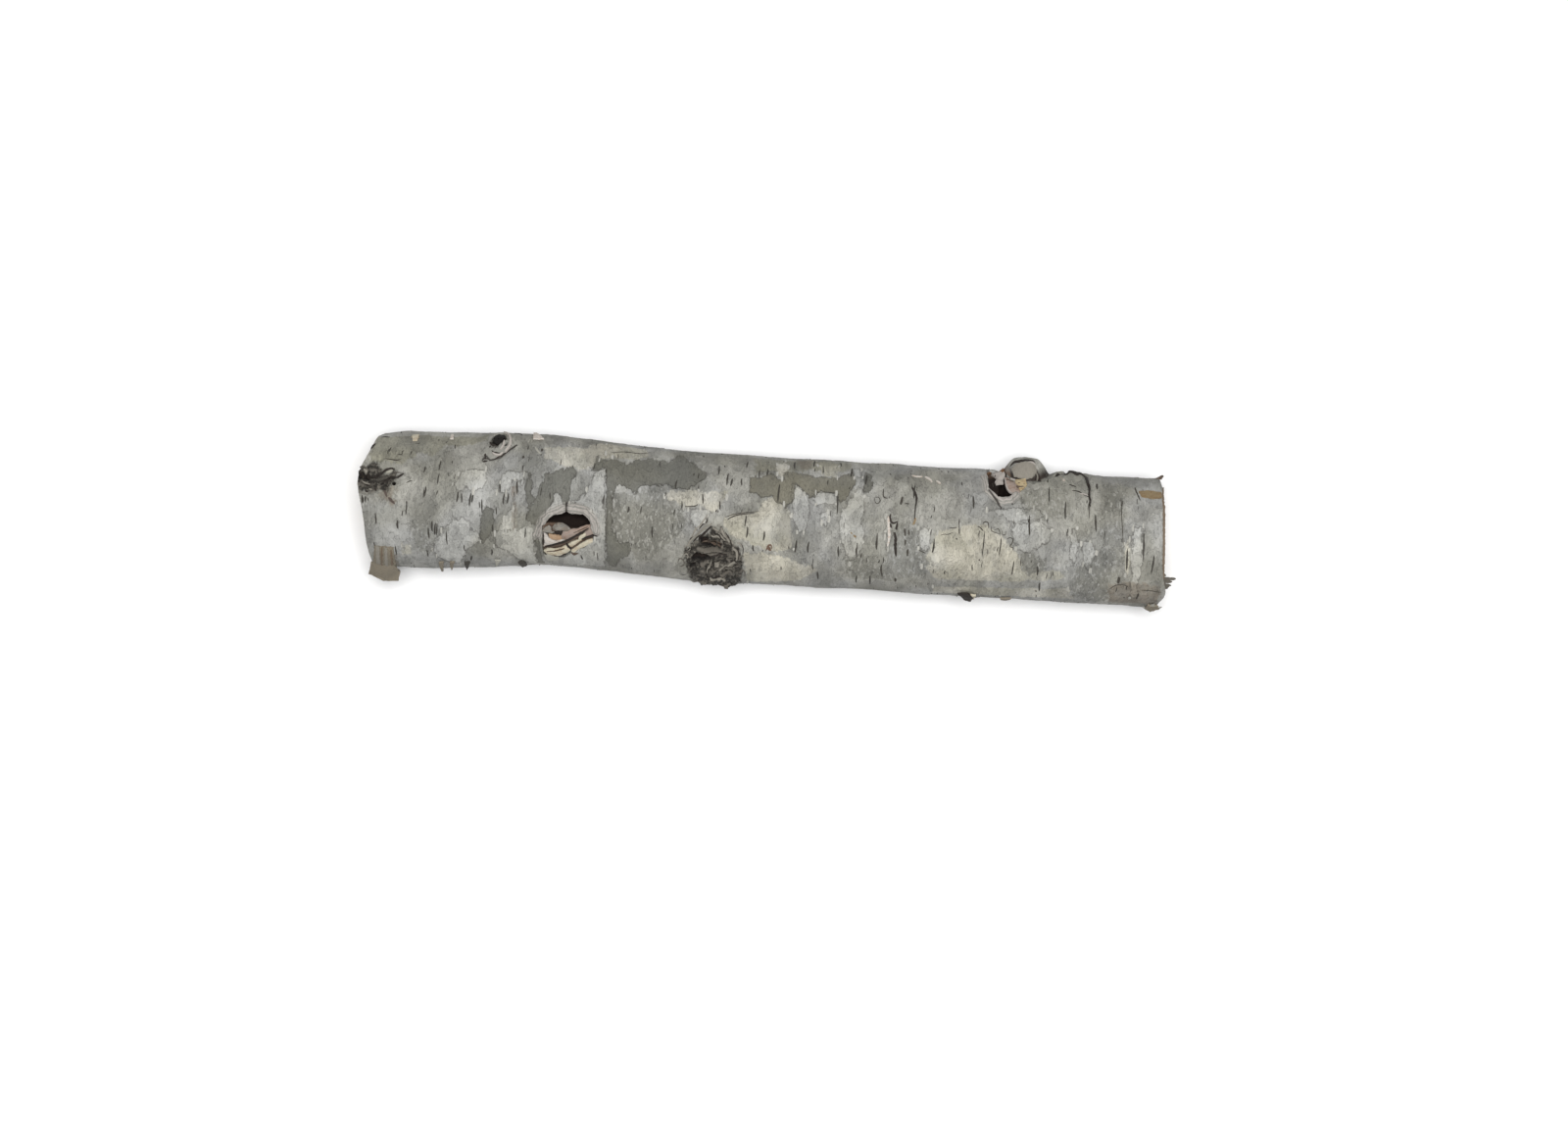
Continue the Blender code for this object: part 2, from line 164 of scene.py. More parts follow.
PALE_PATCHES = {
    "left_1": (LEFT_THIRD, (545, 655), (590, 620), (600, 560), (620, 580), (690, 605), (700, 645),
        (745, 660), (760, 715), (690, 755), (650, 835), (600, 830), (520, 795), (495, 760), (520, 700)),
    "left_2": (LEFT_THIRD, (640, 345), (680, 325), (790, 318), (800, 380), (760, 430), (720, 440),
        (680, 415), (640, 450), (608, 400)),
    "left_3": (LEFT_THIRD, (880, 350), (910, 325), (1000, 345), (985, 400), (950, 375), (900, 450),
        (850, 445), (868, 390)),
    "by_lens": (LEFT_THIRD, (890, 590), (905, 555), (940, 535), (945, 640), (900, 655), (872, 650)),
    "left_4": (LEFT_THIRD, (840, 670), (950, 650), (1050, 640), (1060, 780), (1075, 832), (1000, 830),
        (900, 765), (835, 740)),
    "by_hole": (LEFT_THIRD, (1250, 500), (1300, 490), (1345, 430), (1400, 330), (1452, 305), (1440, 520),
        (1455, 620), (1445, 855), (1300, 845), (1130, 832), (1220, 800), (1390, 700), (1405, 620),
        (1370, 545), (1310, 505)),
    "middle_1": (MIDDLE_THIRD, (1095, 330), (1120, 330), (1155, 385), (1180, 430), (1185, 490), (1150, 590),
        (1115, 590), (1090, 500)),
    "middle_2": (MIDDLE_THIRD, (1190, 405), (1215, 378), (1325, 382), (1322, 440), (1215, 442)),
    "spike": (MIDDLE_THIRD, (1440, 330), (1475, 400), (1465, 540), (1480, 600), (1445, 700), (1395, 760),
        (1378, 700), (1345, 640), (1338, 520), (1375, 440), (1425, 390)),
    "tear_drop": (MIDDLE_THIRD, (1240, 490), (1280, 482), (1285, 520), (1262, 582), (1246, 540)),
    "left_of_knot": (MIDDLE_THIRD, (535, 470), (600, 460), (660, 480), (620, 530), (580, 580), (555, 540)),
    "white_streak": (RIGHT_THIRD, (190, 385), (222, 375), (220, 450), (200, 525), (186, 470)),
    "right_1": (RIGHT_THIRD, (1060, 500), (1100, 490), (1128, 540), (1100, 620), (1068, 590)),
    "right_2": (RIGHT_THIRD, (740, 420), (880, 400), (930, 440), (915, 485), (830, 540), (770, 520)),
    "right_3": (RIGHT_THIRD, (640, 350), (850, 340), (905, 380), (760, 402)),
    "right_4": (RIGHT_THIRD, (1010, 440), (1042, 430), (1045, 530), (1025, 600), (1008, 560)),
    "right_5": (RIGHT_THIRD, (1290, 430), (1335, 420), (1330, 560), (1300, 740), (1275, 740), (1285, 560)),
    "chip": (MIDDLE_THIRD, (1415, 255), (1460, 258), (1465, 300), (1420, 300)),
    "by_smudge": (SMUDGE_VIEW, (930, 830), (1090, 830), (1060, 1120), (930, 1080)),
}
CREAM_PATCHES = {
    "bright": (MIDDLE_THIRD, (720, 522), (770, 492), (905, 480), (940, 415), (985, 398), (1045, 440),
        (1085, 500), (1085, 600), (1098, 680), (1000, 700), (860, 650), (750, 600)),
    "tan": (MIDDLE_THIRD, (408, 400), (440, 370), (590, 368), (610, 400), (590, 448), (512, 455), (470, 430)),
    "soft": (MIDDLE_THIRD, (612, 380), (740, 370), (740, 405), (690, 480), (640, 480), (604, 440)),
    "chip_1": (MIDDLE_THIRD, (1010, 230), (1055, 212), (1070, 245), (1035, 305), (1010, 280)),
    "chip_2": (MIDDLE_THIRD, (1225, 235), (1340, 240), (1330, 300), (1255, 285)),
    "low": (MIDDLE_THIRD, (830, 700), (1000, 705), (1230, 790), (1100, 850), (850, 855)),
    "smooth": (RIGHT_THIRD, (350, 600), (390, 510), (420, 450), (520, 420), (640, 420), (720, 480),
        (790, 560), (815, 610), (960, 620), (990, 655), (700, 668), (420, 655)),
    "lower_band": (RIGHT_THIRD, (400, 690), (1000, 700), (1030, 745), (700, 730), (400, 715)),
    "top_1": (LEFT_THIRD, (1110, 200), (1250, 190), (1450, 230), (1420, 262), (1370, 310), (1300, 320),
        (1200, 290), (1110, 250)),
    "top_2": (MIDDLE_THIRD, (0, 130), (100, 120), (300, 150), (330, 190), (250, 205), (130, 190), (60, 200),
        (0, 250)),
    "left_low": (LEFT_THIRD, (330, 735), (375, 740), (370, 790), (335, 785)),
    "right": (RIGHT_THIRD, (1250, 500), (1275, 480), (1270, 640), (1255, 640)),
}
# The olive patches along the upper side are partly an olive tint and partly painted shade where the bark
# turns away from the light.
OLIVE_PATCHES = {
    "upper_left": (LEFT_THIRD, (190, 140), (400, 130), (800, 130), (800, 160), (560, 190), (500, 240),
        (420, 230), (330, 290), (240, 270), (150, 280)),
    "upper_middle": (MIDDLE_THIRD, (880, 195), (1400, 225), (1400, 265), (1220, 262), (1050, 262),
        (980, 262), (900, 270)),
    "olive_dark": DARK_PATCHES["olive_dark"],
}
BROWN_PATCHES = {
    "strip": (LEFT_THIRD, (930, 420), (958, 420), (962, 640), (945, 640), (940, 520)),
    "top": (MIDDLE_THIRD, (1115, 205), (1200, 210), (1190, 255), (1125, 245)),
    "end_knot": (END_KNOT_VIEW, (460, 1240), (560, 1260), (720, 1250), (780, 1180), (850, 1250), (800, 1340),
        (760, 1400), (840, 1480), (800, 1540), (700, 1480), (600, 1440), (500, 1340)),
    "right_rim": (RIM_VIEW, (330, 310), (400, 320), (560, 330), (560, 380), (480, 390), (350, 370)),
    "right_corner": (RIGHT_THIRD, (1180, 680), (1300, 670), (1410, 690), (1400, 770), (1180, 760)),
    "left_corner": (LEFT_THIRD, (200, 780), (300, 790), (310, 850), (250, 900), (190, 850)),
}
SCARS = {
    "black_knot": (WHOLE, (700, 559), (718, 546), (727, 538), (738, 542), (745, 553), (755, 560), (758, 573),
        (754, 596), (727, 599), (706, 592), (700, 578), (698, 567)),
    "end_knot": (WHOLE, (366, 482), (372, 475), (386, 472), (394, 484), (406, 481), (404, 490), (396, 500),
        (380, 503), (366, 500)),
    "upper_knot": (LEFT_THIRD, (815, 185), (830, 150), (860, 130), (905, 128), (915, 150), (880, 180),
        (840, 195)),
}
# Pits sunk into the knots, coloured near black: partly dark dead wood, partly painted shade.
PITS = {
    "hollow": (BLACK_KNOT_VIEW, (410, 600), (520, 560), (600, 640), (720, 650), (810, 700), (800, 760),
        (700, 760), (520, 760), (440, 740)),
    "big_pit": (BLACK_KNOT_VIEW, (250, 960), (290, 880), (380, 840), (500, 870), (590, 900), (600, 960),
        (540, 1000), (400, 990), (280, 1000)),
    "low_left": (BLACK_KNOT_VIEW, (230, 1050), (370, 1020), (350, 1140), (240, 1130)),
    "end_cavity": (WHOLE, (367, 481), (371, 480), (378, 484), (381, 487), (378, 491), (371, 490), (366, 488)),
    "under_knot": (WHOLE, (977, 607), (990, 607), (989, 612), (979, 612)),
}

# Cracks, with how deep and how wide each is, in mm, and raised folds in the same form.
Groove = namedtuple("Groove", "mark depth width")
GROOVES = {
    "split_top": Groove((STUB_VIEW, (925, 300), (990, 265), (1040, 275), (1100, 240), (1140, 245),
        (1200, 250), (1260, 270), (1310, 310), (1320, 350)), 1.1, 0.75),
    "split_side": Groove((STUB_VIEW, (1310, 340), (1335, 380), (1340, 440), (1355, 490), (1350, 560),
        (1360, 620), (1345, 660), (1340, 820)), 0.7, 0.45),
    "stub_foot": Groove((STUB_VIEW, (680, 200), (705, 260), (715, 300), (745, 340)), 0.8, 0.6),
    "torn_fissure": Groove((STUB_VIEW, (110, 490), (170, 565), (220, 625), (260, 700)), 0.6, 0.45),
    "end_arc": Groove((END_KNOT_VIEW, (380, 1000), (450, 985), (540, 920), (620, 860), (720, 815),
        (800, 820)), 0.9, 0.6),
    "end_under": Groove((END_KNOT_VIEW, (980, 915), (880, 985), (740, 1010), (640, 1080), (560, 1130)),
        0.9, 0.55),
    "upper_v": Groove((LEFT_THIRD, (770, 265), (790, 240), (812, 265), (870, 250), (960, 180)), 0.6, 0.45),
    "brow_left": Groove((BLACK_KNOT_VIEW, (620, 390), (540, 470), (420, 600)), 0.7, 0.5),
    "brow_right": Groove((BLACK_KNOT_VIEW, (800, 400), (870, 560), (960, 640), (1010, 760)), 0.7, 0.5),
    "swirl": Groove((BLACK_KNOT_VIEW, (600, 960), (640, 1040), (560, 1150), (540, 1230)), 0.8, 0.6),
    "knot_side": Groove((BLACK_KNOT_VIEW, (820, 1150), (920, 1110), (1110, 1070)), 0.6, 0.4),
    "knot_foot": Groove((BLACK_KNOT_VIEW, (560, 1290), (700, 1300), (830, 1330)), 0.7, 0.45),
    "lip_notch": Groove((WHOLE, (578, 513), (578, 518), (578, 523)), 0.6, 0.5),
}
FOLDS = {
    "knot_ridge": Groove((BLACK_KNOT_VIEW, (380, 780), (480, 820), (560, 800), (700, 790), (800, 780)),
        1.1, 0.9),
    "brow_light": Groove((BLACK_KNOT_VIEW, (560, 290), (430, 440), (240, 640)), 0.6, 0.6),
    "brow_light_2": Groove((WHOLE, (733, 535), (738, 543), (744, 550), (751, 558)), 0.6, 0.6),
    "knot_curl": Groove((WHOLE, (716, 572), (719, 580), (717, 586)), 1.0, 0.9),
    "knot_side": Groove((WHOLE, (745, 566), (752, 567), (758, 571)), 0.9, 0.9),
    "knot_low": Groove((WHOLE, (735, 585), (745, 585), (753, 583)), 0.8, 0.9),
    "end_fold_1": Groove((WHOLE, (367, 494), (374, 496), (383, 494)), 0.9, 0.8),
    "end_fold_2": Groove((WHOLE, (388, 490), (396, 488), (402, 484)), 0.7, 0.8),
    "end_fold_3": Groove((WHOLE, (368, 502), (376, 504), (384, 501)), 0.6, 0.7),
}

# The rolled lips of the torn bark round the two holes.
LIPS = {
    "torn_knot": (WHOLE, (549, 546), (551, 540), (555, 531), (561, 525), (570, 521), (578, 518), (587, 519),
        (597, 521), (603, 527), (607, 535), (608, 542)),
    "stub_hole": (WHOLE, (1006, 486), (1009, 500), (1016, 506), (1022, 510), (1031, 509), (1036, 504)),
}
LIP_REACH = 6.0

# What the bark's surface adds to the solid's, in mm: its grain, how far each layer lies under or over the
# bark round it and where its edge is, the scars' tufts, and the rolled edges at the lips and the holes.
GRAIN_RELIEF = 0.16
GRAIN_LENGTH = 1.6
GRAIN_TURNS = 7.0
Layer = namedtuple("Layer", "name rise low high")
LAYER_RELIEF = (Layer("dark", -0.30, -0.4, 0.4), Layer("middle", -0.14, -0.4, 0.4),
                Layer("pale", 0.12, -0.4, 0.4), Layer("pit", -2.6, -0.2, 1.6))
TUFT_RELIEF = 0.75
TUFT_SIZE = (1.1, 1.3)
TUFT_SLICE = 8.0
SCAR_EDGE = (-0.6, 0.8)
Roll = namedtuple("Roll", "rise at width")
HOLE_RIM = Roll(0.12, -0.6, 0.7)
LIP_ROLLS = (Roll(0.75, 0.0, 1.1), Roll(-0.2, 2.0, 0.4), Roll(0.15, 2.9, 0.4))

# How much rounder than the solid the stub's top is, and how far the top left corner is worn, in mm, with
# the stretches of x and around over which the wear begins and ends.
STUB_ROUNDING = 2.2
STUB_EDGE = (1.3, 0.9)
CORNER_WEAR = 1.5
CORNER_X = (-134.0, -146.0)
CORNER_FROM = (24.0, 34.0)
CORNER_TO = (60.0, 50.0)

# Torn bark holes, as in the solid, and how each goes in: the lift from the bark and how far it widens.
TEAR = ((-80.6, -9.6), (-80.8, -16.0), (-80.4, -23.6), (-77.4, -25.4), (-74.0, -24.9), (-71.4, -22.0),
        (-66.8, -18.6), (-62.2, -14.8), (-61.6, -12.0), (-63.2, -8.6), (-71.4, -9.4), (-76.6, -8.6))
TORN_POCKET = ((-79.8, -9.4), (-78.6, -7.2), (-76.6, -5.5), (-73.6, -5.0), (-72.1, -3.9), (-70.6, -4.7),
               (-66.0, -4.4), (-64.0, -5.6), (-62.6, -8.4), (-65.6, -9.4), (-69.6, -10.4), (-73.4, -8.8))
STUB_POCKET = ((82.6, 30.5), (83.0, 17.8), (86.6, 13.8), (91.0, 14.6), (93.2, 17.2), (91.0, 21.0),
               (90.4, 26.0), (89.6, 31.0), (87.8, 37.0), (84.2, 36.4))
TWIG_SOCKET = ((-102.2, 20.6), (-101.6, 25.6), (-98.4, 27.6), (-96.0, 26.2), (-96.6, 23.0), (-99.4, 20.2))
BACK_SOCKET = ((37.4, 50.2), (38.6, 54.2), (42.2, 54.8), (43.2, 51.4), (40.6, 48.8))
Level = namedtuple("Level", "lift grow")
HOLLOWS = {
    "tear": (TEAR, (Level(4.0, 0.3), Level(-0.9, 0.0), Level(-1.6, 0.2), Level(-2.0, -1.0))),
    "torn_pocket": (TORN_POCKET, (Level(4.0, 0.2), Level(-1.0, 0.0), Level(-2.2, 0.9), Level(-6.0, 0.8),
                                  Level(-10.5, -0.6), Level(-13.5, -2.0))),
    "stub_pocket": (STUB_POCKET, (Level(5.0, 0.2), Level(-1.0, 0.0), Level(-2.4, 0.8), Level(-6.0, 0.4),
                                  Level(-9.5, -1.0), Level(-12.0, -2.2))),
    "twig_socket": (TWIG_SOCKET, (Level(3.0, 0.3), Level(-1.0, -0.2), Level(-3.0, -0.8), Level(-4.6, -1.4))),
    "back_socket": (BACK_SOCKET, (Level(3.0, 0.3), Level(-1.0, -0.2), Level(-3.0, -0.6), Level(-4.6, -1.2))),
}
HOLLOW_ROUGHNESS = 0.35
BEETLE_HOLE = (-135.6, 4.6)
BEETLE_HOLE_RADIUS = 0.75
BEETLE_HOLE_DEPTH = 6.0

# Lenticels seen: the column of each in its view, and the rows where it starts and stops.
LENTICELS = {
    LEFT_THIRD: (
        (537, 270, 325), (528, 340, 400), (453, 305, 335), (457, 415, 450), (448, 430, 475), (352, 490, 570),
        (305, 600, 645), (495, 600, 660), (510, 610, 680), (520, 615, 680), (475, 640, 700), (575, 655, 745),
        (672, 735, 770), (632, 440, 500), (655, 450, 500), (703, 450, 520), (715, 455, 500), (768, 480, 560),
        (887, 455, 510), (910, 450, 505), (962, 380, 450), (1005, 640, 700), (185, 560, 620), (178, 720, 765),
        (297, 740, 790), (470, 765, 800), (710, 795, 820), (822, 760, 790), (112, 460, 505), (130, 460, 500),
        (868, 400, 445), (1318, 785, 815), (1405, 770, 825), (1385, 765, 800), (1440, 460, 520),
    ),
    MIDDLE_THIRD: (
        (470, 315, 360), (612, 385, 440), (703, 425, 470), (215, 455, 485), (343, 560, 620), (698, 240, 285),
        (745, 275, 345), (765, 305, 345), (820, 305, 340), (850, 215, 245), (915, 260, 300), (957, 255, 285),
        (1018, 330, 430), (1103, 215, 255), (1208, 210, 240), (1255, 235, 300), (1350, 220, 240),
        (1405, 250, 290), (1485, 285, 335), (1330, 385, 500), (840, 500, 560), (848, 560, 620),
        (938, 585, 635),
        (1108, 630, 700), (1175, 640, 700), (1225, 800, 840), (1335, 665, 720), (1430, 670, 715),
        (1540, 620, 680), (1505, 820, 870), (1432, 820, 860), (880, 660, 690), (500, 425, 465),
    ),
    RIGHT_THIRD: (
        (1263, 520, 620), (1335, 440, 580), (1377, 550, 635), (580, 285, 350), (518, 390, 460),
        (625, 440, 560),
        (700, 470, 555), (757, 575, 640), (830, 380, 465), (402, 490, 540), (865, 600, 640), (875, 670, 710),
        (318, 240, 300), (322, 300, 400),
    ),
    STUB_VIEW: ((610, 780, 1050), (855, 440, 630), (1055, 620, 850), (1425, 780, 1000), (1440, 410, 470)),
}

# Fine lines seen on the bark and in the knots: the shade, the width and the lift in mm, and the path.
STROKES = {
    # The near-black strokes stand for cracks and crevices: raised ribbons of painted shade, partly dark wood.
    "black_knot": (BLACK_KNOT_VIEW, (
        ("pale_fibre", 0.5, 0.35, (560, 170), (500, 260), (420, 370), (340, 440), (300, 500)),
        ("dark_wood", 0.45, 0.1, (560, 230), (540, 300), (470, 350), (400, 430)),
        ("pale_fibre", 0.7, 0.6, (640, 330), (560, 380), (480, 440), (400, 510), (350, 570)),
        ("dark_wood", 0.8, 0.3, (620, 380), (560, 450), (490, 520), (420, 580), (400, 640)),
        ("pale_fibre", 0.7, 0.6, (410, 500), (340, 560), (270, 620), (230, 680), (200, 740)),
        ("dark_wood", 0.5, 0.2, (440, 520), (360, 590), (300, 660)),
        ("dark_wood", 0.35, 0.1, (330, 460), (280, 560), (240, 620)),
        ("pale_fibre", 0.4, 0.3, (320, 390), (350, 440), (300, 520), (260, 580)),
        ("dark_wood", 0.9, 0.1, (695, 125), (730, 105), (745, 140)),
        ("pale_fibre", 0.8, 0.5, (800, 400), (820, 480), (870, 560), (920, 620), (950, 680)),
        ("pale_fibre", 0.5, 0.8, (740, 500), (790, 540), (830, 600), (880, 640)),
        ("dark_wood", 0.4, 0.2, (870, 480), (920, 560), (950, 600)),
        ("pale_fibre", 0.8, 0.5, (980, 620), (1000, 700), (1020, 780), (1070, 830), (1080, 940),
         (1060, 1000)),
        ("pale_fibre", 0.5, 0.4, (1080, 680), (1140, 700), (1170, 760)),
        ("dark_wood", 0.35, 0.1, (1160, 700), (1190, 780), (1180, 880)),
        ("dark_wood", 0.35, 0.2, (1090, 820), (1120, 880), (1100, 960)),
        ("pale_fibre", 0.5, 0.7, (650, 400), (700, 440), (760, 470)),
        ("pale_fibre", 0.5, 0.9, (620, 540), (660, 570), (720, 560), (780, 600)),
        ("brown_wood", 0.5, 0.1, (480, 620), (600, 645), (720, 655), (800, 690)),
        ("brown_wood", 0.5, 0.1, (450, 690), (600, 700), (700, 725), (800, 745)),
        ("knot_grey", 1.2, 0.9, (370, 760), (440, 790), (520, 810), (600, 800), (700, 790), (845, 830)),
        ("knot_grey", 0.7, 0.7, (550, 885), (640, 885), (720, 870), (800, 850), (880, 860)),
        ("dark_wood", 0.5, 0.4, (600, 925), (700, 905), (800, 885), (900, 885)),
        ("pale_fibre", 0.55, 1.1, (630, 1000), (615, 1060), (590, 1120), (555, 1160), (545, 1240)),
        ("knot_grey", 1.0, 0.9, (430, 1040), (485, 1060), (540, 1030)),
        ("pale_fibre", 0.7, 0.9, (680, 1060), (740, 1055), (745, 1090), (680, 1095)),
        ("knot_grey", 0.6, 0.7, (590, 1200), (640, 1215), (700, 1190), (760, 1120)),
        ("pale_fibre", 0.6, 0.6, (760, 1165), (850, 1115), (960, 1065), (1050, 1040)),
        ("knot_grey", 0.5, 0.5, (960, 830), (950, 900), (900, 960), (960, 1010), (900, 1060)),
        ("dark_wood", 0.6, 0.2, (820, 1160), (900, 1120), (1000, 1100), (1110, 1065)),
        ("dark_wood", 0.4, 0.2, (980, 1010), (1020, 1000), (1085, 1000)),
        ("dark_wood", 0.7, 0.3, (640, 1300), (740, 1310), (840, 1330)),
        ("dark_wood", 0.5, 0.2, (1020, 1320), (1060, 1316), (1100, 1310)),
        ("pale_fibre", 0.5, 0.7, (600, 1340), (700, 1350), (800, 1350), (880, 1350)),
        ("knot_grey", 0.6, 0.6, (780, 1230), (880, 1210), (960, 1190), (1000, 1230)),
        ("knot_grey", 0.35, 0.3, (1120, 1200), (1180, 1170), (1220, 1210), (1220, 1290)),
        ("pale_fibre", 0.35, 0.4, (155, 770), (180, 730), (240, 740), (250, 800), (200, 830)),
        ("pale_fibre", 0.35, 0.4, (120, 940), (150, 880), (210, 900), (190, 970)),
        ("knot_grey", 0.35, 0.4, (30, 1030), (60, 960), (130, 990), (140, 1070), (80, 1100)),
        ("dark_wood", 0.5, 0.1, (80, 1240), (130, 1250), (185, 1240)),
        ("line", 0.5, 0.1, (910, 265), (960, 230), (1040, 195), (1100, 180), (1230, 160), (1390, 150)),
    )),
    "end_knot": (END_KNOT_VIEW, (
        ("dark_wood", 1.5, 0.1, (130, 850), (125, 900), (160, 940), (200, 1000), (240, 1040)),
        ("dark_wood", 1.3, 0.1, (280, 920), (310, 990), (350, 1000)),
        ("pale_fibre", 1.0, 1.0, (200, 830), (250, 870), (230, 920)),
        ("knot_grey", 0.5, 0.5, (120, 790), (180, 775), (250, 810), (285, 860)),
        ("dark_wood", 0.8, 0.2, (100, 1050), (120, 1110)),
        ("dark_wood", 0.7, 0.1, (350, 1010), (460, 980), (540, 920), (620, 850), (700, 815), (770, 805),
         (805, 835)),
        ("cream_dull", 1.3, 0.3, (640, 905), (700, 870), (780, 855)),
        ("dark_wood", 0.5, 0.1, (560, 1010), (640, 990), (690, 980)),
        ("dark_wood", 0.8, 0.1, (600, 1110), (680, 1060), (740, 1000), (780, 980)),
        ("dark_wood", 0.7, 0.1, (860, 1000), (920, 960), (980, 920)),
        ("line", 0.35, 0.1, (760, 960), (840, 910), (950, 905)),
        ("dark_wood", 0.5, 0.1, (400, 1090), (412, 1150), (400, 1210)),
        ("pale_fibre", 0.6, 0.5, (170, 1070), (240, 1120), (330, 1150)),
        ("dark_wood", 0.5, 0.2, (240, 1160), (290, 1170), (330, 1170)),
        ("dark_wood", 0.7, 0.2, (230, 1270), (300, 1290)),
        ("dark_wood", 0.6, 0.2, (430, 1220), (450, 1280)),
        ("pale_fibre", 0.6, 0.4, (300, 1230), (380, 1250)),
        ("line", 0.35, 0.1, (160, 1350), (180, 1420), (190, 1500)),
        ("line", 0.35, 0.1, (270, 1400), (290, 1480)),
        ("scar_fibre", 0.8, 0.2, (600, 1260), (640, 1330), (660, 1400)),
        ("scar_fibre", 1.0, 0.2, (690, 1400), (740, 1460), (810, 1530)),
        ("dark_wood", 0.4, 0.1, (620, 630), (740, 642), (860, 655), (935, 640)),
        ("line", 0.35, 0.1, (860, 535), (950, 540), (960, 490), (990, 455)),
        ("line", 0.4, 0.1, (455, 740), (490, 720)),
        ("dark_wood", 0.5, 0.2, (540, 190), (620, 182), (710, 187)),
        ("dark_wood", 0.7, 0.2, (340, 440), (380, 370), (430, 320)),
        ("line", 0.4, 0.1, (1040, 1110), (1110, 1080), (1165, 1070)),
        ("line", 0.3, 0.1, (1220, 320), (1310, 320)),
        ("line", 0.5, 0.1, (1395, 870), (1420, 800)),
        ("line", 0.4, 0.1, (1410, 1390), (1425, 1300)),
        ("line", 0.5, 0.1, (1045, 1550), (1050, 1470)),
        ("straw_wood", 1.2, 0.2, (1140, 180), (1200, 195), (1290, 200)),
    )),
    "upper_knot": (UPPER_KNOT_VIEW, (
        # The two near-black ribbons paint the shade in the knot's pit.
        ("pit", 2.2, 0.2, (490, 260), (560, 220), (640, 215), (720, 230)),
        ("pit", 2.0, 0.2, (490, 280), (540, 320), (600, 310), (660, 250)),
        ("dark_wood", 0.7, 0.2, (400, 330), (440, 380), (520, 390)),
        ("dark_wood", 0.6, 0.2, (395, 440), (410, 400)),
        ("dark_wood", 0.5, 0.2, (690, 390), (730, 390), (745, 340)),
        ("dark_wood", 0.5, 0.15, (430, 500), (470, 535), (540, 545), (610, 545)),
        ("lip", 0.9, 0.7, (690, 120), (770, 150), (810, 230), (810, 330), (770, 420), (700, 500)),
        ("lip", 0.8, 0.6, (600, 470), (650, 420), (680, 350), (690, 290)),
        ("lip", 0.7, 0.5, (440, 540), (520, 580), (600, 570), (660, 520)),
        ("dark_wood", 0.45, 0.1, (440, 690), (520, 640), (620, 590), (700, 540), (780, 490), (860, 450),
         (950, 380)),
        ("dark_wood", 0.9, 0.1, (290, 610), (300, 585), (310, 560)),
        ("dark_wood", 0.8, 0.1, (280, 650), (320, 655), (370, 655)),
        ("dark_wood", 0.7, 0.1, (235, 715), (290, 715), (350, 705)),
        ("dark_wood", 0.6, 0.2, (880, 150), (960, 155), (1040, 190)),
        ("white_wood", 1.6, 0.4, (1270, 160), (1300, 200), (1330, 230), (1420, 230)),
        ("dark_wood", 0.4, 0.5, (1320, 160), (1350, 200)),
        ("paper", 0.5, 0.3, (1160, 340), (1190, 270)),
        ("paper", 0.5, 0.3, (1220, 330), (1240, 270)),
        ("line", 0.9, 0.1, (1440, 460), (1430, 520)),
        ("line", 0.9, 0.1, (1070, 600), (1050, 660)),
        ("paper", 0.8, 0.2, (1300, 430), (1350, 510), (1420, 570)),
    )),
    "smudge": (SMUDGE_VIEW, (
        ("dark_wood", 0.9, 0.1, (850, 320), (880, 380), (905, 440), (900, 560)),
        ("line", 0.9, 0.1, (735, 440), (722, 500), (710, 540)),
        ("line", 0.35, 0.1, (760, 520), (820, 530)),
        ("dark_wood", 0.8, 0.1, (590, 650), (580, 700), (600, 760), (640, 765), (665, 745)),
        ("dark_wood", 0.8, 0.1, (575, 770), (600, 830)),
        ("dark_wood", 0.8, 0.1, (675, 740), (660, 830), (670, 850)),
        ("dark_wood", 1.1, 0.1, (635, 880), (650, 960), (645, 1050), (655, 1180)),
        ("line", 0.7, 0.1, (760, 830), (768, 930)),
        ("line", 0.6, 0.1, (810, 850), (815, 920)),
        ("line", 0.6, 0.1, (770, 970), (765, 1045)),
        ("line", 0.8, 0.1, (800, 1090), (795, 1180)),
        ("line", 0.55, 0.1, (425, 890), (415, 1095)),
        ("line", 0.6, 0.1, (475, 1280), (470, 1350), (485, 1430)),
        ("line", 0.9, 0.1, (645, 1450), (648, 1490)),
        ("line", 0.35, 0.1, (390, 450), (400, 510), (430, 525), (460, 490), (440, 450), (400, 450)),
        ("line", 0.45, 0.1, (500, 340), (500, 440), (545, 460)),
        ("white_wood", 0.6, 0.4, (850, 175), (900, 185), (980, 190)),
        ("white_wood", 0.8, 0.6, (1010, 190), (1060, 215), (1100, 255)),
        ("white_wood", 0.6, 0.5, (1150, 240), (1206, 275)),
        ("line", 0.6, 0.1, (120, 100), (108, 190)),
        ("line", 0.35, 0.1, (178, 1010), (170, 1180)),
        ("rust", 0.8, 0.1, (895, 700), (880, 760), (860, 790)),
        ("line", 0.35, 0.1, (930, 1100), (1020, 1140)),
        ("white_wood", 0.9, 0.2, (560, 680), (565, 800), (570, 940), (550, 1060)),
    )),
    "insect_lines": (INSECT_VIEW, (
        ("line", 0.45, 0.1, (680, 170), (720, 190), (765, 245)),
        ("line", 0.45, 0.1, (755, 130), (790, 105), (835, 120), (838, 200)),
        ("line", 0.3, 0.1, (880, 170), (880, 230), (930, 260), (1000, 280)),
        ("line", 0.3, 0.1, (920, 225), (980, 205), (1000, 250), (1010, 290)),
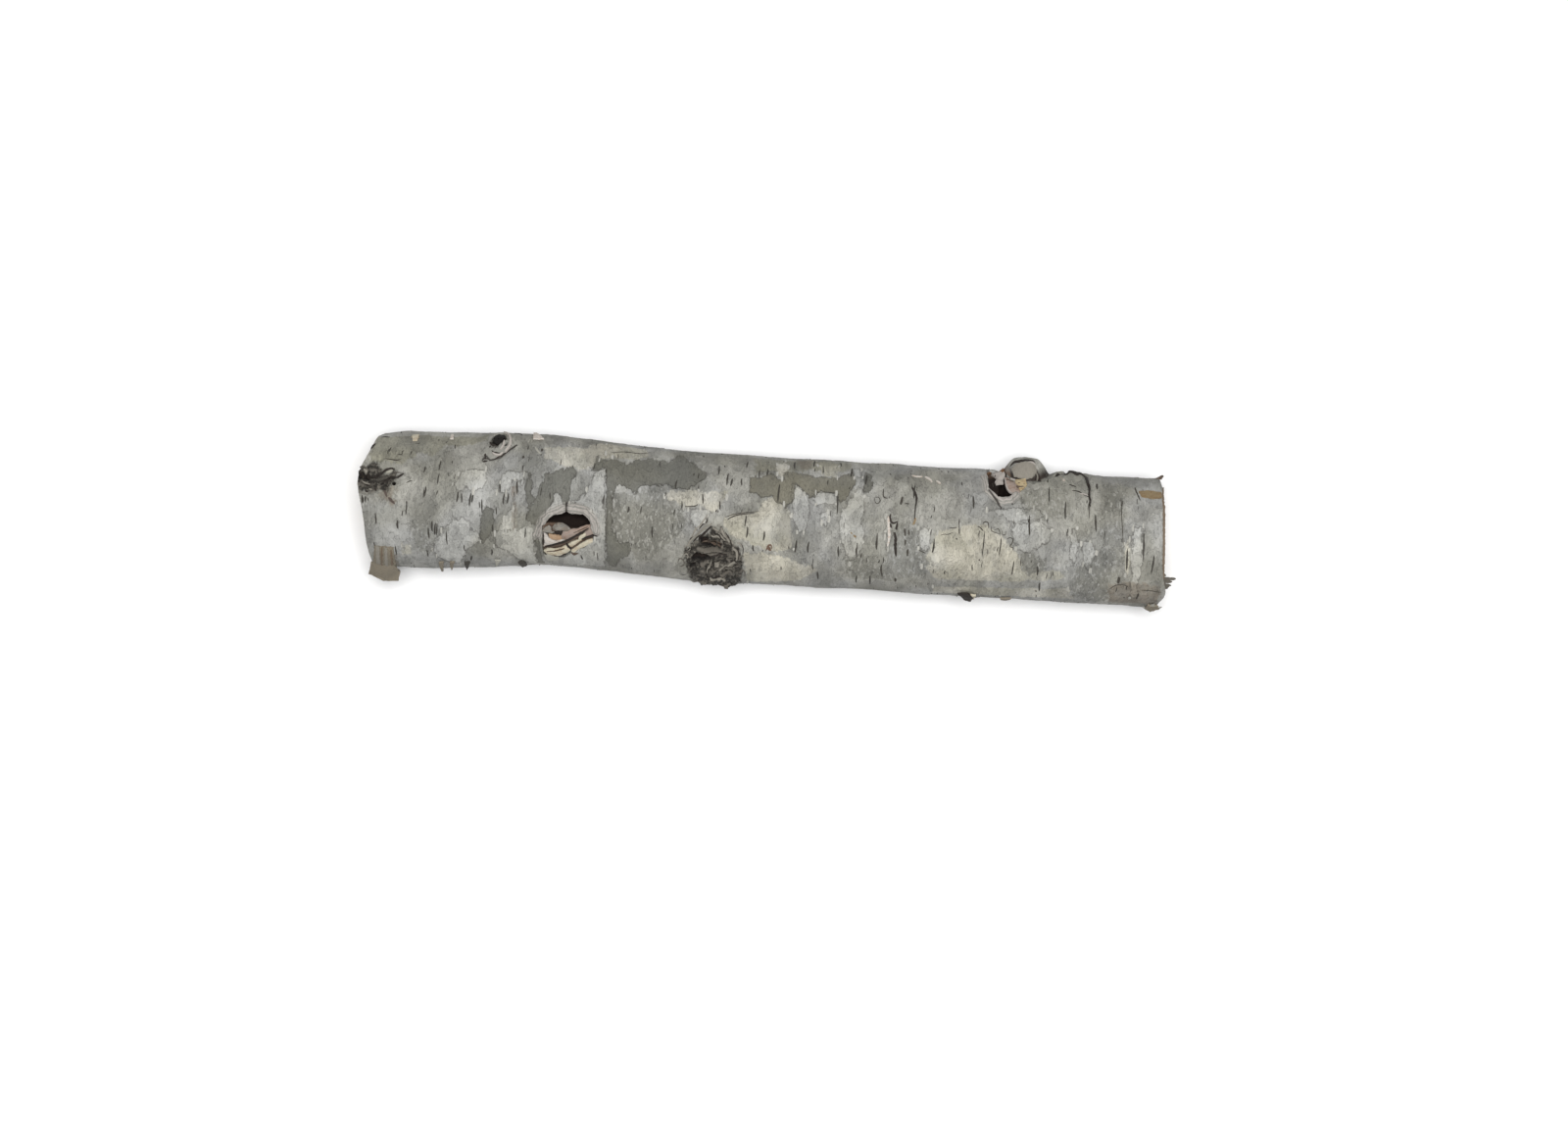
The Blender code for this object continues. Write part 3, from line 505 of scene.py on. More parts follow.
        ("line", 0.3, 0.1, (1035, 230), (1040, 290), (1085, 290), (1090, 240)),
        ("line", 0.4, 0.1, (1100, 360), (1150, 335), (1195, 360), (1180, 420), (1150, 465), (1195, 480),
         (1195, 525)),
        ("line", 0.3, 0.1, (140, 300), (200, 285), (240, 290), (320, 260)),
        ("line", 0.3, 0.1, (260, 190), (330, 195), (385, 185)),
        ("dark_wood", 0.6, 0.1, (365, 340), (380, 365)),
        ("dark_wood", 0.6, 0.1, (695, 655), (712, 668)),
        ("pale_fibre", 0.9, 0.2, (785, 150), (800, 185)),
    )),
    "right_rim": (RIM_VIEW, (
        ("line", 0.6, 0.1, (285, 275), (300, 320), (340, 410)),
        ("line", 0.3, 0.1, (350, 1340), (450, 1345), (560, 1365)),
        ("line", 0.7, 0.1, (300, 1430), (320, 1370)),
        ("line", 1.1, 0.1, (122, 1200), (110, 1270)),
        ("line", 0.35, 0.1, (20, 1330), (80, 1290), (160, 1280), (220, 1310)),
        ("line", 0.3, 0.1, (140, 380), (150, 600), (165, 880)),
        ("raw_edge", 0.9, 0.2, (575, 270), (575, 400), (585, 500), (583, 700), (584, 900), (580, 1100),
         (586, 1220)),
        ("rust", 1.1, 0.1, (330, 330), (400, 345), (480, 350), (560, 345)),
    )),
    "split_knot": (STUB_VIEW, (
        ("dark_wood", 0.9, 0.3, (925, 300), (960, 262), (1000, 262), (1050, 270)),
        ("dark_wood", 1.5, 0.5, (1040, 280), (1090, 245), (1130, 245), (1180, 272), (1230, 262), (1280, 300)),
        ("dark_wood", 1.1, 0.4, (1270, 290), (1310, 330), (1325, 380), (1345, 430), (1350, 480)),
        ("dark_wood", 0.7, 0.2, (1350, 470), (1343, 540), (1360, 600), (1340, 660)),
        ("line", 0.4, 0.1, (1335, 660), (1335, 740), (1340, 830)),
        ("dark_wood", 0.5, 0.1, (1095, 412), (1140, 425), (1185, 440)),
        ("dark_wood", 0.45, 0.1, (1135, 485), (1210, 495), (1270, 530), (1340, 565)),
        ("lip", 0.6, 0.2, (1230, 520), (1290, 530), (1330, 550)),
        ("pale_fibre", 0.9, 0.4, (975, 310), (1000, 330)),
        ("white_wood", 0.7, 0.4, (1020, 345), (1040, 360)),
        ("line", 0.7, 0.1, (1440, 400), (1440, 465)),
        ("dark_wood", 1.0, 0.3, (370, 140), (410, 105), (490, 95), (560, 92), (630, 95), (670, 120)),
        ("lip", 0.8, 0.3, (530, 125), (590, 115), (650, 120), (665, 145)),
        ("dark_wood", 0.5, 0.1, (505, 215), (500, 270), (500, 330)),
        ("pale_fibre", 0.6, 0.3, (680, 190), (700, 240), (700, 300)),
        ("dark_wood", 0.8, 0.1, (690, 230), (715, 290), (750, 340)),
        ("line", 0.35, 0.1, (570, 230), (640, 210), (660, 250)),
        ("straw_wood", 0.6, 0.9, (455, 345), (500, 345), (560, 342)),
        ("straw_wood", 0.6, 1.1, (480, 370), (530, 370), (570, 390)),
        ("straw_wood", 0.7, 1.0, (470, 410), (520, 410), (575, 420)),
        ("straw_wood", 0.6, 0.9, (480, 450), (520, 450), (550, 440)),
        ("brown_wood", 0.35, 1.0, (470, 390), (520, 390), (550, 400)),
        ("brown_wood", 0.35, 1.0, (450, 430), (500, 432), (540, 430)),
        ("brown_wood", 0.4, 0.9, (330, 340), (370, 360), (410, 370)),
        ("lip", 0.7, 0.6, (380, 330), (440, 340), (490, 350)),
        ("lip", 0.5, 0.5, (310, 330), (320, 400), (345, 470), (400, 520)),
        ("line", 0.35, 0.1, (210, 590), (220, 640), (270, 690)),
        ("line", 0.3, 0.1, (610, 790), (615, 1050)),
    )),
    "middle": (MIDDLE_THIRD, (
        ("line", 0.35, 0.1, (125, 165), (200, 162), (270, 170), (330, 165)),
        ("line", 0.4, 0.1, (500, 455), (570, 450), (585, 440)),
        ("line", 0.35, 0.1, (730, 510), (800, 490), (910, 480)),
        ("red_bud", 1.0, 0.3, (955, 665), (975, 690)),
        ("red_bud", 0.6, 0.2, (950, 690), (960, 665), (975, 660), (980, 680)),
        ("rust", 0.7, 0.2, (1415, 605), (1430, 618)),
        ("rust", 0.5, 0.2, (1400, 590), (1410, 600)),
        ("line", 0.5, 0.1, (1195, 760), (1200, 790)),
    )),
    "torn_knot": (WHOLE, (
        ("dark_wood", 0.8, -0.3, (556, 558.5), (568.5, 555.5), (579, 552), (590, 545.5), (601, 539)),
        ("dark_wood", 0.6, 0.3, (593.5, 550.5), (599, 548.5), (606, 546.5), (609.5, 547.5)),
        ("dark_wood", 0.7, 0.6, (578, 555.5), (580.5, 558.5), (583.5, 560.5)),
        ("brown_wood", 0.35, 0.7, (583.5, 560), (588, 557), (594, 552.5)),
        ("brown_wood", 0.35, 0.7, (558, 563), (567, 562.5), (576, 560)),
        ("dark_wood", 0.6, 0.1, (554, 544), (554.5, 550), (555, 556)),
        ("brown_wood", 0.35, -0.2, (576, 547), (588, 543), (600, 537.5)),
        ("dark_wood", 0.5, 0.2, (556, 565.5), (562, 567), (570, 567.5), (578, 565)),
    )),
}

# Torn layers and splinters: the shade, the lift of the edge and how much higher the middle bows, in mm, the
# outline, and for each knot the angle at which its fibres run.
SHARDS = {
    "torn_knot": (WHOLE, 22.0, (
        # The near-black layer deepest in the tear stands for the shade under the torn strips: painted shade.
        ("dark_wood", -1.7, 0.0, (555, 543), (565, 542.5), (577, 541.5), (580, 544), (572, 547),
         (560, 545.5)),
        ("white_wood", -1.1, 0.2, (554.5, 543.5), (558, 545.5), (560.5, 549), (566, 551.5), (575, 550.5),
         (578, 551), (570, 554.5), (560, 557), (555, 557.5)),
        ("tan_wood", -0.8, 0.2, (559.5, 545), (566, 545.5), (572, 547), (576, 546.5), (576, 549.5),
         (570, 551),
         (563, 550.5), (560.5, 548)),
        # The brown strip under the lifted layers is brown wood with painted shade.
        ("brown_wood", -1.3, 0.2, (556, 557.5), (566, 556.5), (576, 553), (584, 550), (593, 545),
         (604, 539.5),
         (606, 543), (598, 547), (590, 549), (582, 554), (572, 557), (560, 560), (555.5, 560)),
        ("pink_wood", -0.7, 0.6, (575, 541.5), (582, 540.5), (590, 539), (598, 536), (602, 535), (605, 538),
         (603.5, 540), (597, 541.5), (590, 545.5), (582, 549), (576, 550.5), (573, 548), (574, 544)),
        ("pink_wood", -0.5, 0.3, (597, 542.5), (603, 540), (606, 543.5), (605, 546), (599, 548),
         (596.5, 549)),
        ("cream_wood", -0.2, 0.5, (578.5, 556), (584, 553), (590, 551.5), (591, 547.5), (596, 544),
         (598, 544),
         (598, 547), (594, 551), (589, 555), (583.5, 559.5), (580, 557.5)),
        ("cream_wood", 0.1, 0.5, (555, 562), (559, 560), (566, 560.5), (573, 559), (578, 556.5), (581, 559.5),
         (582.5, 561.5), (578, 564.5), (575, 565.5), (571.5, 567.5), (566, 566.5), (560, 565.5),
         (557.5, 564.5)),
        ("cream_wood", 0.1, 0.4, (583.5, 561), (588, 558), (594, 554), (600, 551), (605, 549.5),
         (605.5, 552.5),
         (599, 556.5), (592, 560), (586, 563.5), (583.5, 563)),
        ("paper", 0.25, 0.2, (555.5, 566), (560, 566), (566, 567.5), (570, 568), (571, 570.5), (568, 572),
         (560, 572.5), (557, 569.5)),
        ("grey_wood", -0.3, 0.3, (552.5, 542), (556, 538.5), (560, 536), (562.5, 538), (563, 542), (566, 543),
         (563, 544), (557, 543)),
        ("grey_wood", -0.6, 1.5, (563.5, 538), (566, 535), (570, 533.5), (575, 534), (578, 536), (581, 538),
         (582.5, 540.5), (579, 542), (574, 542), (568, 542), (564.5, 540.5)),
        ("brown_wood", 0.2, 0.2, (583, 564.5), (588, 563.5), (591, 565), (586, 567)),
    )),
    "stub_hole": (WHOLE, 10.0, (
        ("amber_wood", -1.0, 0.2, (1005, 480.5), (1010, 479), (1017, 477.5), (1023, 475.5), (1024.5, 479),
         (1022.5, 481.5), (1016.5, 481.5), (1008, 484)),
        ("lip", -1.6, 0.6, (1012, 484), (1016, 481), (1021.5, 481), (1025.5, 485), (1025, 488), (1021.5, 490),
         (1016.5, 487.5)),
        ("lip", -1.8, 0.3, (1015.5, 491.5), (1017.5, 488), (1024, 488), (1024, 492.5), (1016.5, 494)),
        ("pink_wood", 0.1, 0.6, (1025.5, 486.5), (1030, 488), (1032.5, 490.5), (1038, 491.5), (1039, 496.5),
         (1041.5, 501.5), (1036.5, 504), (1031.5, 502.5), (1028, 499), (1025.5, 493)),
        ("straw_wood", 0.5, 0.5, (1036.5, 489), (1041, 488.5), (1046.5, 488), (1047, 491), (1048.5, 494),
         (1045, 497), (1042, 501), (1040, 498), (1039, 495), (1036, 492)),
    )),
    "split_knot": (WHOLE, 0.0, (
        ("pale_fibre", 0.5, 0.3, (1031, 478), (1036, 473), (1046, 471), (1055, 474), (1057, 481), (1053, 487),
         (1045, 488), (1035, 485)),
    )),
    "edge_tags": (WHOLE, 80.0, (
        ("brown_paper", 1.3, 0.1, (448, 574), (450, 583), (453, 574)),
        ("brown_paper", 1.3, 0.1, (459, 574), (461, 582), (464, 574)),
        ("lenticel", 1.3, 0.1, (474, 574), (476.5, 581.5), (480, 574)),
        ("paper", 1.0, 0.1, (505, 572), (507, 578.5), (511, 572)),
        ("lenticel", 1.0, 0.1, (529, 574), (533, 579), (538, 577), (535, 573)),
        ("white_wood", 0.9, 0.2, (544, 447), (544, 441), (547.5, 441.5), (551.5, 444), (555, 447)),
        ("white_wood", 0.8, 0.2, (459.5, 447), (460, 442.5), (462.5, 443), (463, 447)),
        ("cream_wood", 0.5, 0.2, (426, 449), (421, 449), (421, 443.5), (428, 443)),
        ("dark_wood", 1.2, 0.2, (977, 606), (984, 612), (991, 614), (994, 610), (988, 606)),
        ("cream_wood", 1.0, 0.2, (986, 607), (994, 612), (996, 608)),
        ("brown_paper", 0.8, 0.2, (1020.5, 611), (1026, 614.5), (1032, 611)),
        ("paper", 0.8, 0.2, (1172.5, 619), (1175, 624), (1179.5, 620.5), (1178, 617)),
        ("knot_grey", 0.8, 0.2, (739, 598), (741, 601.5), (743.5, 598)),
    )),
    "right_rim": (WHOLE, 0.0, (
        ("rust", 0.15, 0.1, (1162, 501), (1170, 500), (1185, 502), (1185.5, 508), (1177, 509), (1165, 507)),
    )),
    "torn_flap": (WHOLE, 90.0, (
        ("brown_paper", 0.4, 0.3, (383, 557), (402, 559), (405, 576), (396, 579), (381, 577)),
        ("pale_fibre", 0.9, 0.3, (384, 558), (388, 558), (389, 576), (385, 575)),
        ("pale_fibre", 0.9, 0.3, (393, 559), (396, 560), (397, 578), (393.5, 577)),
        ("raw_edge", 0.8, 0.2, (389.5, 559), (391, 559), (391.5, 577), (390, 577)),
        ("raw_edge", 0.8, 0.2, (399, 562), (400.5, 562), (402, 576), (400.5, 577)),
    )),
}

# What can be seen of the bark is covered by the marks above. The rest, from HIDDEN_FROM round the back to
# HIDDEN_TO, gets marks of the same kinds and sizes by a seeded rule.
SEED = 1063
HIDDEN_FROM = 42.0
HIDDEN_TO = GIRTH - 42.0
HIDDEN_PATCHES = {"dark": 16, "middle": 14, "pale": 30, "cream": 12, "olive": 6}

# Bark mesh: rings and points around at first, then finer boxes (x, around, half lengths) round the knots.
RINGS = 268
POINTS_AROUND = 176
UPPER_SIDE_SHARE = 0.2
FINER = (
    ((-142.0, 8.0, 10.0, 15.0), (-99.0, 20.0, 9.0, 11.0), (-71.0, -13.0, 13.0, 15.0),
     (-16.0, -21.0, 14.0, 19.0), (92.0, 25.0, 12.0, 17.0), (114.0, 27.0, 10.0, 15.0)),
    ((-142.0, 8.0, 7.0, 8.0), (-71.0, -8.0, 11.0, 8.0), (-16.0, -21.0, 11.5, 16.0),
     (89.0, 24.0, 8.0, 13.0), (114.0, 34.0, 8.0, 4.5)),
)
RECESS = 4.0
SMOOTH_ANGLE = math.radians(40.0)

# Shades, as they look on screen from 0 to 255 where the light falls straight on them. TOP_LIGHT is how much
# brighter than white paper's own 1.0 that light makes a surface.
TOP_LIGHT = 1.26
SHADES = {
    "grey_light": (160, 159, 154), "grey_dark": (138, 137, 130),
    "pale": (175, 174, 168), "dark": (108, 107, 99), "middle": (127, 126, 119), "cream": (184, 180, 168),
    "cream_dull": (164, 161, 148), "olive": (136, 134, 121), "olive_deep": (121, 118, 106),
    "brown": (122, 112, 99), "rust": (138, 121, 92), "knot_grey": (98, 93, 85),
    # The near black of the pits and the dark brown of the hollows' deep walls and the tear's floor are
    # painted shade; the scars' two tones are partly their own and partly painted shade and highlight.
    "scar": (44, 41, 36), "scar_light": (112, 107, 98), "pit": (20, 16, 13), "depth_shade": (42, 32, 26),
    "tear_floor_shadow": (104, 86, 72), "line": (66, 62, 55), "lenticel": (62, 59, 53), "lip": (174, 167, 160),
    "paper": (160, 158, 148), "wood": (206, 182, 140), "wood_dark": (168, 138, 98),
    "cream_wood": (200, 193, 172), "pink_wood": (156, 141, 131), "brown_wood": (98, 85, 74),
    "grey_wood": (140, 137, 129), "tan_wood": (176, 150, 122), "white_wood": (204, 198, 190),
    "amber_wood": (126, 93, 62), "straw_wood": (184, 168, 134), "brown_paper": (126, 118, 103),
    # The near-black of the cracks, gaps and crevices in the knots and torn bark is partly dark wood and
    # partly painted shade.
    "dark_wood": (44, 38, 33), "raw_edge": (112, 97, 80), "pale_fibre": (136, 131, 121),
    "flake": (178, 176, 168),
    "red_bud": (102, 80, 66), "scar_fibre": (80, 69, 63),
}


def shade(name):
    """A shade as the linear colour that a shader takes, so that it looks as listed under the light."""
    def linear(value):
        part = value / 255
        return (part / 12.92 if part <= 0.04045 else ((part + 0.055) / 1.055) ** 2.4) / TOP_LIGHT
    return tuple(linear(value) for value in SHADES[name]) + (1.0,)


def smooth(low, high, value):
    """0 below low, 1 above high, and an even rise between them."""
    t = min(max((value - low) / (high - low), 0.0), 1.0)
    return t * t * (3 - 2 * t)


def sway(x):
    """How far the branch's axis lies towards +Y at x."""
    return LEVEL_SWAY + BOW * math.exp(-(((x - BOW_MIDDLE) / BOW_WIDTH) ** 2))


def even_radius(x):
    """The bark's radius at x, before its knots and its unevenness."""
    return WAIST_RADIUS + BUTT_SWELL * smooth(WAIST_FROM, BUTT_TO, x)


def axis_point(x):
    """The branch's centre at x. Its height lets the underside touch the table in three stretches."""
    lift = REST_LIFT * (1 - math.cos(2 * math.pi * x / REST_SPACING))
    return Vector((x, sway(x), even_radius(x) - REST_FLAT + lift))


def away(x, around, knot):
    """How far a place is from a knot's middle, where 1 is the knot's edge."""
    across = (around - knot.around + GIRTH / 2) % GIRTH - GIRTH / 2
    return math.hypot((x - knot.x) / knot.reach, across / knot.girth)


def knot_relief(x, around):
    """The swelling of the bark over its knots, with the stub's steep sides and the scars' rough middles."""
    rise = 0.0
    for name, knot in KNOTS.items():
        d = away(x, around, knot)
        if d > 2.0:
            continue
        rise += knot.rise * (smooth(1.25, 0.45, d) if name == "stub" else math.exp(-1.6 * d * d))
        if name in ("black_knot", "end_knot"):
            rough = noise.noise(Vector((x / SCAR_GRAIN[0], around / SCAR_GRAIN[1], 3.0)))
            rise += SCAR_ROUGHNESS * rough * smooth(1.1, 0.7, d)
    return rise


def bark_radius(x, turn):
    """The distance from the axis to the bark's surface."""
    uneven = 0.0
    for wave in BARK_WAVES:
        spot = Vector((x / wave.length, wave.turns * math.cos(turn), wave.turns * math.sin(turn)))
        uneven += wave.height * noise.noise(spot)
    return even_radius(x) + uneven + knot_relief(x, turn * GIRTH_RADIUS)


def place(x, around, lift=0.0):
    """The point on the bark at x and around, raised by lift."""
    turn = around / GIRTH_RADIUS
    out = Vector((0.0, math.sin(turn), math.cos(turn)))
    return axis_point(x) + out * (bark_radius(x, turn) + lift)


def reach_of(bulge, turn):
    return bulge.reach * math.exp(-(((math.degrees(turn) - bulge.angle) / bulge.width) ** 2))


def left_end(turn):
    """Where the left cut meets the bark. It runs out over the knot that the saw went through."""
    return LEFT_CUT - LEFT_LEAN * math.cos(turn) - reach_of(LEFT_KNOT_BULGE, turn)


def right_end(turn):
    """Where the right cut meets the bark. Its lower front corner was broken off, not sawn."""
    return RIGHT_CUT - RIGHT_LEAN * math.sin(turn) + reach_of(RIGHT_CORNER_BULGE, turn)


def sight(pixel, height):
    """Where the line of sight through a pixel of the photograph is at a height over the axis."""
    right = (pixel[0] - PHOTO_WIDTH / 2) * MM_PER_PIXEL
    up = (PHOTO_HEIGHT / 2 - pixel[1]) * MM_PER_PIXEL
    level_x = right * math.cos(CAMERA_ROLL) - up * math.sin(CAMERA_ROLL)
    level_y = right * math.sin(CAMERA_ROLL) + up * math.cos(CAMERA_ROLL)
    nearer = 1 - height / CAMERA_RISE
    return CAMERA_SPOT[0] + level_x * nearer, CAMERA_SPOT[1] + level_y * nearer


def on_bark(pixel, lift=0.0):
    """The place on the bark, as (x, around), that a pixel of the photograph shows."""
    x, y = sight(pixel, 0.8 * AXIS_HEIGHT)
    turn = math.asin(min(max((y - sway(x)) / (even_radius(x) + lift), -0.98), 0.98))

    def gap(turn):
        reach = bark_radius(x_at, turn) + lift
        return sway(x_at) + reach * math.sin(turn) - sight(pixel, reach * math.cos(turn))[1]

    x_at = sight(pixel, (even_radius(x) + lift) * math.cos(turn))[0]
    way = -1.0 if gap(turn) > 0 else 1.0
    stride = math.radians(2.5)
    for _ in range(26):
        if gap(turn + way * stride) * way > 0 or abs(turn + way * stride) > math.radians(97):
            break
        turn += way * stride
    for _ in range(7):
        stride /= 2
        if gap(turn + way * stride) * way <= 0:
            turn += way * stride
    return x_at, turn * GIRTH_RADIUS


def places(mark, lift=0.0):
    """A mark, its view first and then its points, as places on the bark."""
    view, *points = mark
    return [on_bark((view.left + x / view.zoom, view.top + y / view.zoom), lift) for x, y in points]


def seen(marks):
    return [places(mark) for mark in marks.values()]


def hidden(count, draw):
    """Ragged patches, longer around the branch than along it, on the side that the camera doesn't see."""
    patches = []
    for _ in range(count):
        x = draw.uniform(LEFT_CUT, RIGHT_CUT)
        around = draw.uniform(HIDDEN_FROM, HIDDEN_TO)
        size = draw.uniform(4.0, 13.0)
        corners = draw.randint(8, 13)
        outline = []
        for i in range(corners):
            angle = 2 * math.pi * i / corners
            reach = size * draw.uniform(0.45, 1.0)
            outline.append((x + 0.8 * reach * math.cos(angle), around + 1.3 * reach * math.sin(angle)))
        patches.append(outline)
    return patches


DRAW = random.Random(SEED)
SEEN_MARKS = {
    "dark": DARK_PATCHES, "middle": MIDDLE_PATCHES, "pale": PALE_PATCHES, "cream": CREAM_PATCHES,
    "olive": OLIVE_PATCHES, "brown": BROWN_PATCHES, "scar": SCARS, "pit": PITS,
}
PATCHES = {name: seen(marks) + hidden(HIDDEN_PATCHES.get(name, 0),
                                      DRAW) for name, marks in SEEN_MARKS.items()}
FIELD_REACH = 6.0


def near_middle(around, middle):
    """around, moved by whole turns to lie within half a turn of middle."""
    return middle + (around - middle + GIRTH / 2) % GIRTH - GIRTH / 2


def segment_gap(x, around, start, end):
    """How far each place is from the line between two points."""
    (x0, a0), (x1, a1) = start, end
    length = max((x1 - x0) ** 2 + (a1 - a0) ** 2, 1e-9)
    t = np.clip(((x - x0) * (x1 - x0) + (around - a0) * (a1 - a0)) / length, 0, 1)
    return np.hypot(x - x0 - t * (x1 - x0), around - a0 - t * (a1 - a0))


def close_to(x, around, points, reach):
    """Which places lie within reach of the box round the points, and around moved to lie next to them."""
    near = near_middle(around, points[:, 1].mean())
    low, high = points.min(0) - reach, points.max(0) + reach
    return np.nonzero((x > low[0]) & (x < high[0]) & (near > low[1]) & (near < high[1]))[0], near


def patch_distance(x, around, outlines, reach=FIELD_REACH):
    """How far inside the nearest outline each place lies, in mm, negative outside, within reach."""
    best = np.full(len(x), -reach)
    for outline in outlines:
        corners = np.array(outline)
        close, near = close_to(x, around, corners, reach)
        px, pa = x[close], near[close]
        gap = np.full(len(close), reach)
        within = np.zeros(len(close), bool)
        for start, end in zip(corners, np.roll(corners, -1, 0)):
            gap = np.minimum(gap, segment_gap(px, pa, start, end))
            (x0, a0), (x1, a1) = start, end
            if a0 != a1:
                crosses = (a0 > pa) != (a1 > pa)
                within ^= crosses & (px < x0 + (pa - a0) / (a1 - a0) * (x1 - x0))
        best[close] = np.maximum(best[close], np.where(within, gap, -gap))
    return best


def path_gap(x, around, path):
    """How far each place is from a path."""
    gap = np.full(len(x), np.inf)
    for start, end in zip(path[:-1], path[1:]):
        gap = np.minimum(gap, segment_gap(x, around, start, end))
    return gap


def path_strength(x, around, grooves):
    """1 on the middle of a groove, 0 at its edge and less beyond, and its depth there."""
    strength = np.full(len(x), -2.0)
    depth = np.zeros(len(x))
    for groove in grooves.values():
        path = np.array(places(groove.mark))
        close, near = close_to(x, around, path, 3 * groove.width)
        gap = path_gap(x[close], near[close], path)
        strength[close] = np.maximum(strength[close], 1 - gap / groove.width)
        depth[close] = np.maximum(depth[close], groove.depth * np.exp(-(gap / groove.width) ** 2))
    return strength, depth


def lip_distance(x, around):
    """How far each place is from the nearest rolled lip, in mm, up to LIP_REACH."""
    nearest = np.full(len(x), LIP_REACH)
    for mark in LIPS.values():
        path = np.array(places(mark))
        near = near_middle(around, path[:, 1].mean())
        nearest = np.minimum(nearest, path_gap(x, near, path))
    return nearest


def step(low, high, values):
    """smooth() for a whole array."""
    t = np.clip((values - low) / (high - low), 0, 1)
    return t * t * (3 - 2 * t)


def read_fields(x, around):
    """Every mark's field at the given places, by name."""
    fields = {name: patch_distance(x, around, outlines) for name, outlines in PATCHES.items()}
    fields["line"], fields["groove_depth"] = path_strength(x, around, GROOVES)
    fields["fold"], fields["fold_rise"] = path_strength(x, around, FOLDS)
    fields["hole"] = patch_distance(x, around, [TORN_POCKET, STUB_POCKET, TEAR])
    fields["lip"] = lip_distance(x, around)
    return fields


def roll_height(gap, roll):
    """The height of a rolled edge at each distance from it."""
    return roll.rise * np.exp(-(((gap - roll.at) / roll.width) ** 2))


def fine_relief(x, around, fields):
    """What the bark's layers, cracks and lips add to its surface, in mm, at each place."""
    grain = np.zeros(len(x))
    tuft = np.zeros(len(x))
    for i in range(len(x)):
        turn = around[i] / GIRTH_RADIUS
        spot = Vector((x[i] / GRAIN_LENGTH, GRAIN_TURNS * math.cos(turn), GRAIN_TURNS * math.sin(turn)))
        grain[i] = noise.noise(spot)
        tuft[i] = noise.noise(Vector((x[i] / TUFT_SIZE[0], around[i] / TUFT_SIZE[1], TUFT_SLICE)))
    relief = GRAIN_RELIEF * grain
    for layer in LAYER_RELIEF:
        relief += layer.rise * step(layer.low, layer.high, fields[layer.name])
    relief += TUFT_RELIEF * tuft * step(*SCAR_EDGE, fields["scar"])
    relief += fields["fold_rise"] - fields["groove_depth"]
    relief += roll_height(fields["hole"], HOLE_RIM)
    for roll in LIP_ROLLS:
        relief += roll_height(fields["lip"], roll)
    stub = KNOTS["stub"]
    across = near_middle(around, stub.around) - stub.around
    from_stub = np.hypot((x - stub.x) / stub.reach, across / stub.girth)
    relief -= STUB_ROUNDING * np.minimum(from_stub, 1.0) ** 2 * step(*STUB_EDGE, from_stub)
    relief -= CORNER_WEAR * step(*CORNER_X, x) * step(*CORNER_FROM, around) * step(*CORNER_TO, around)
    return relief


def turn_of(angle):
    """Where a point of the plain cylinder goes round the branch: closer together on the upper side."""
    return angle - UPPER_SIDE_SHARE * math.sin(angle)


def unit_place(v):
    """(x, turn) on the bark of a vertex of the plain cylinder that the bark is made from."""
    turn = turn_of(math.atan2(v.co.y, v.co.z))
    left, right = left_end(turn), right_end(turn)
    return left + (v.co.x + 0.5) * (right - left), turn


def in_boxes(x, around, boxes):
    return any(abs(x - bx) < hx and abs(near_middle(around, ba) - ba) < ha for bx, ba, hx, ha in boxes)


def make_object(bm, name):
    mesh = bpy.data.meshes.new(name)
    bmesh.ops.recalc_face_normals(bm, faces=bm.faces)
    bm.to_mesh(mesh)
    bm.free()
    made = bpy.data.objects.new(name, mesh)
    bpy.context.scene.collection.objects.link(made)
    return made


def plain_cylinder(points_around):
    """A closed cylinder along X, of length 1 and radius 1, whose points are then moved to their places."""
    bm = bmesh.new()
    bmesh.ops.create_cone(bm, cap_ends=True, segments=points_around, radius1=1, radius2=1, depth=1,
                          matrix=Matrix.Rotation(math.pi / 2, 4, "Y"))
    return bm


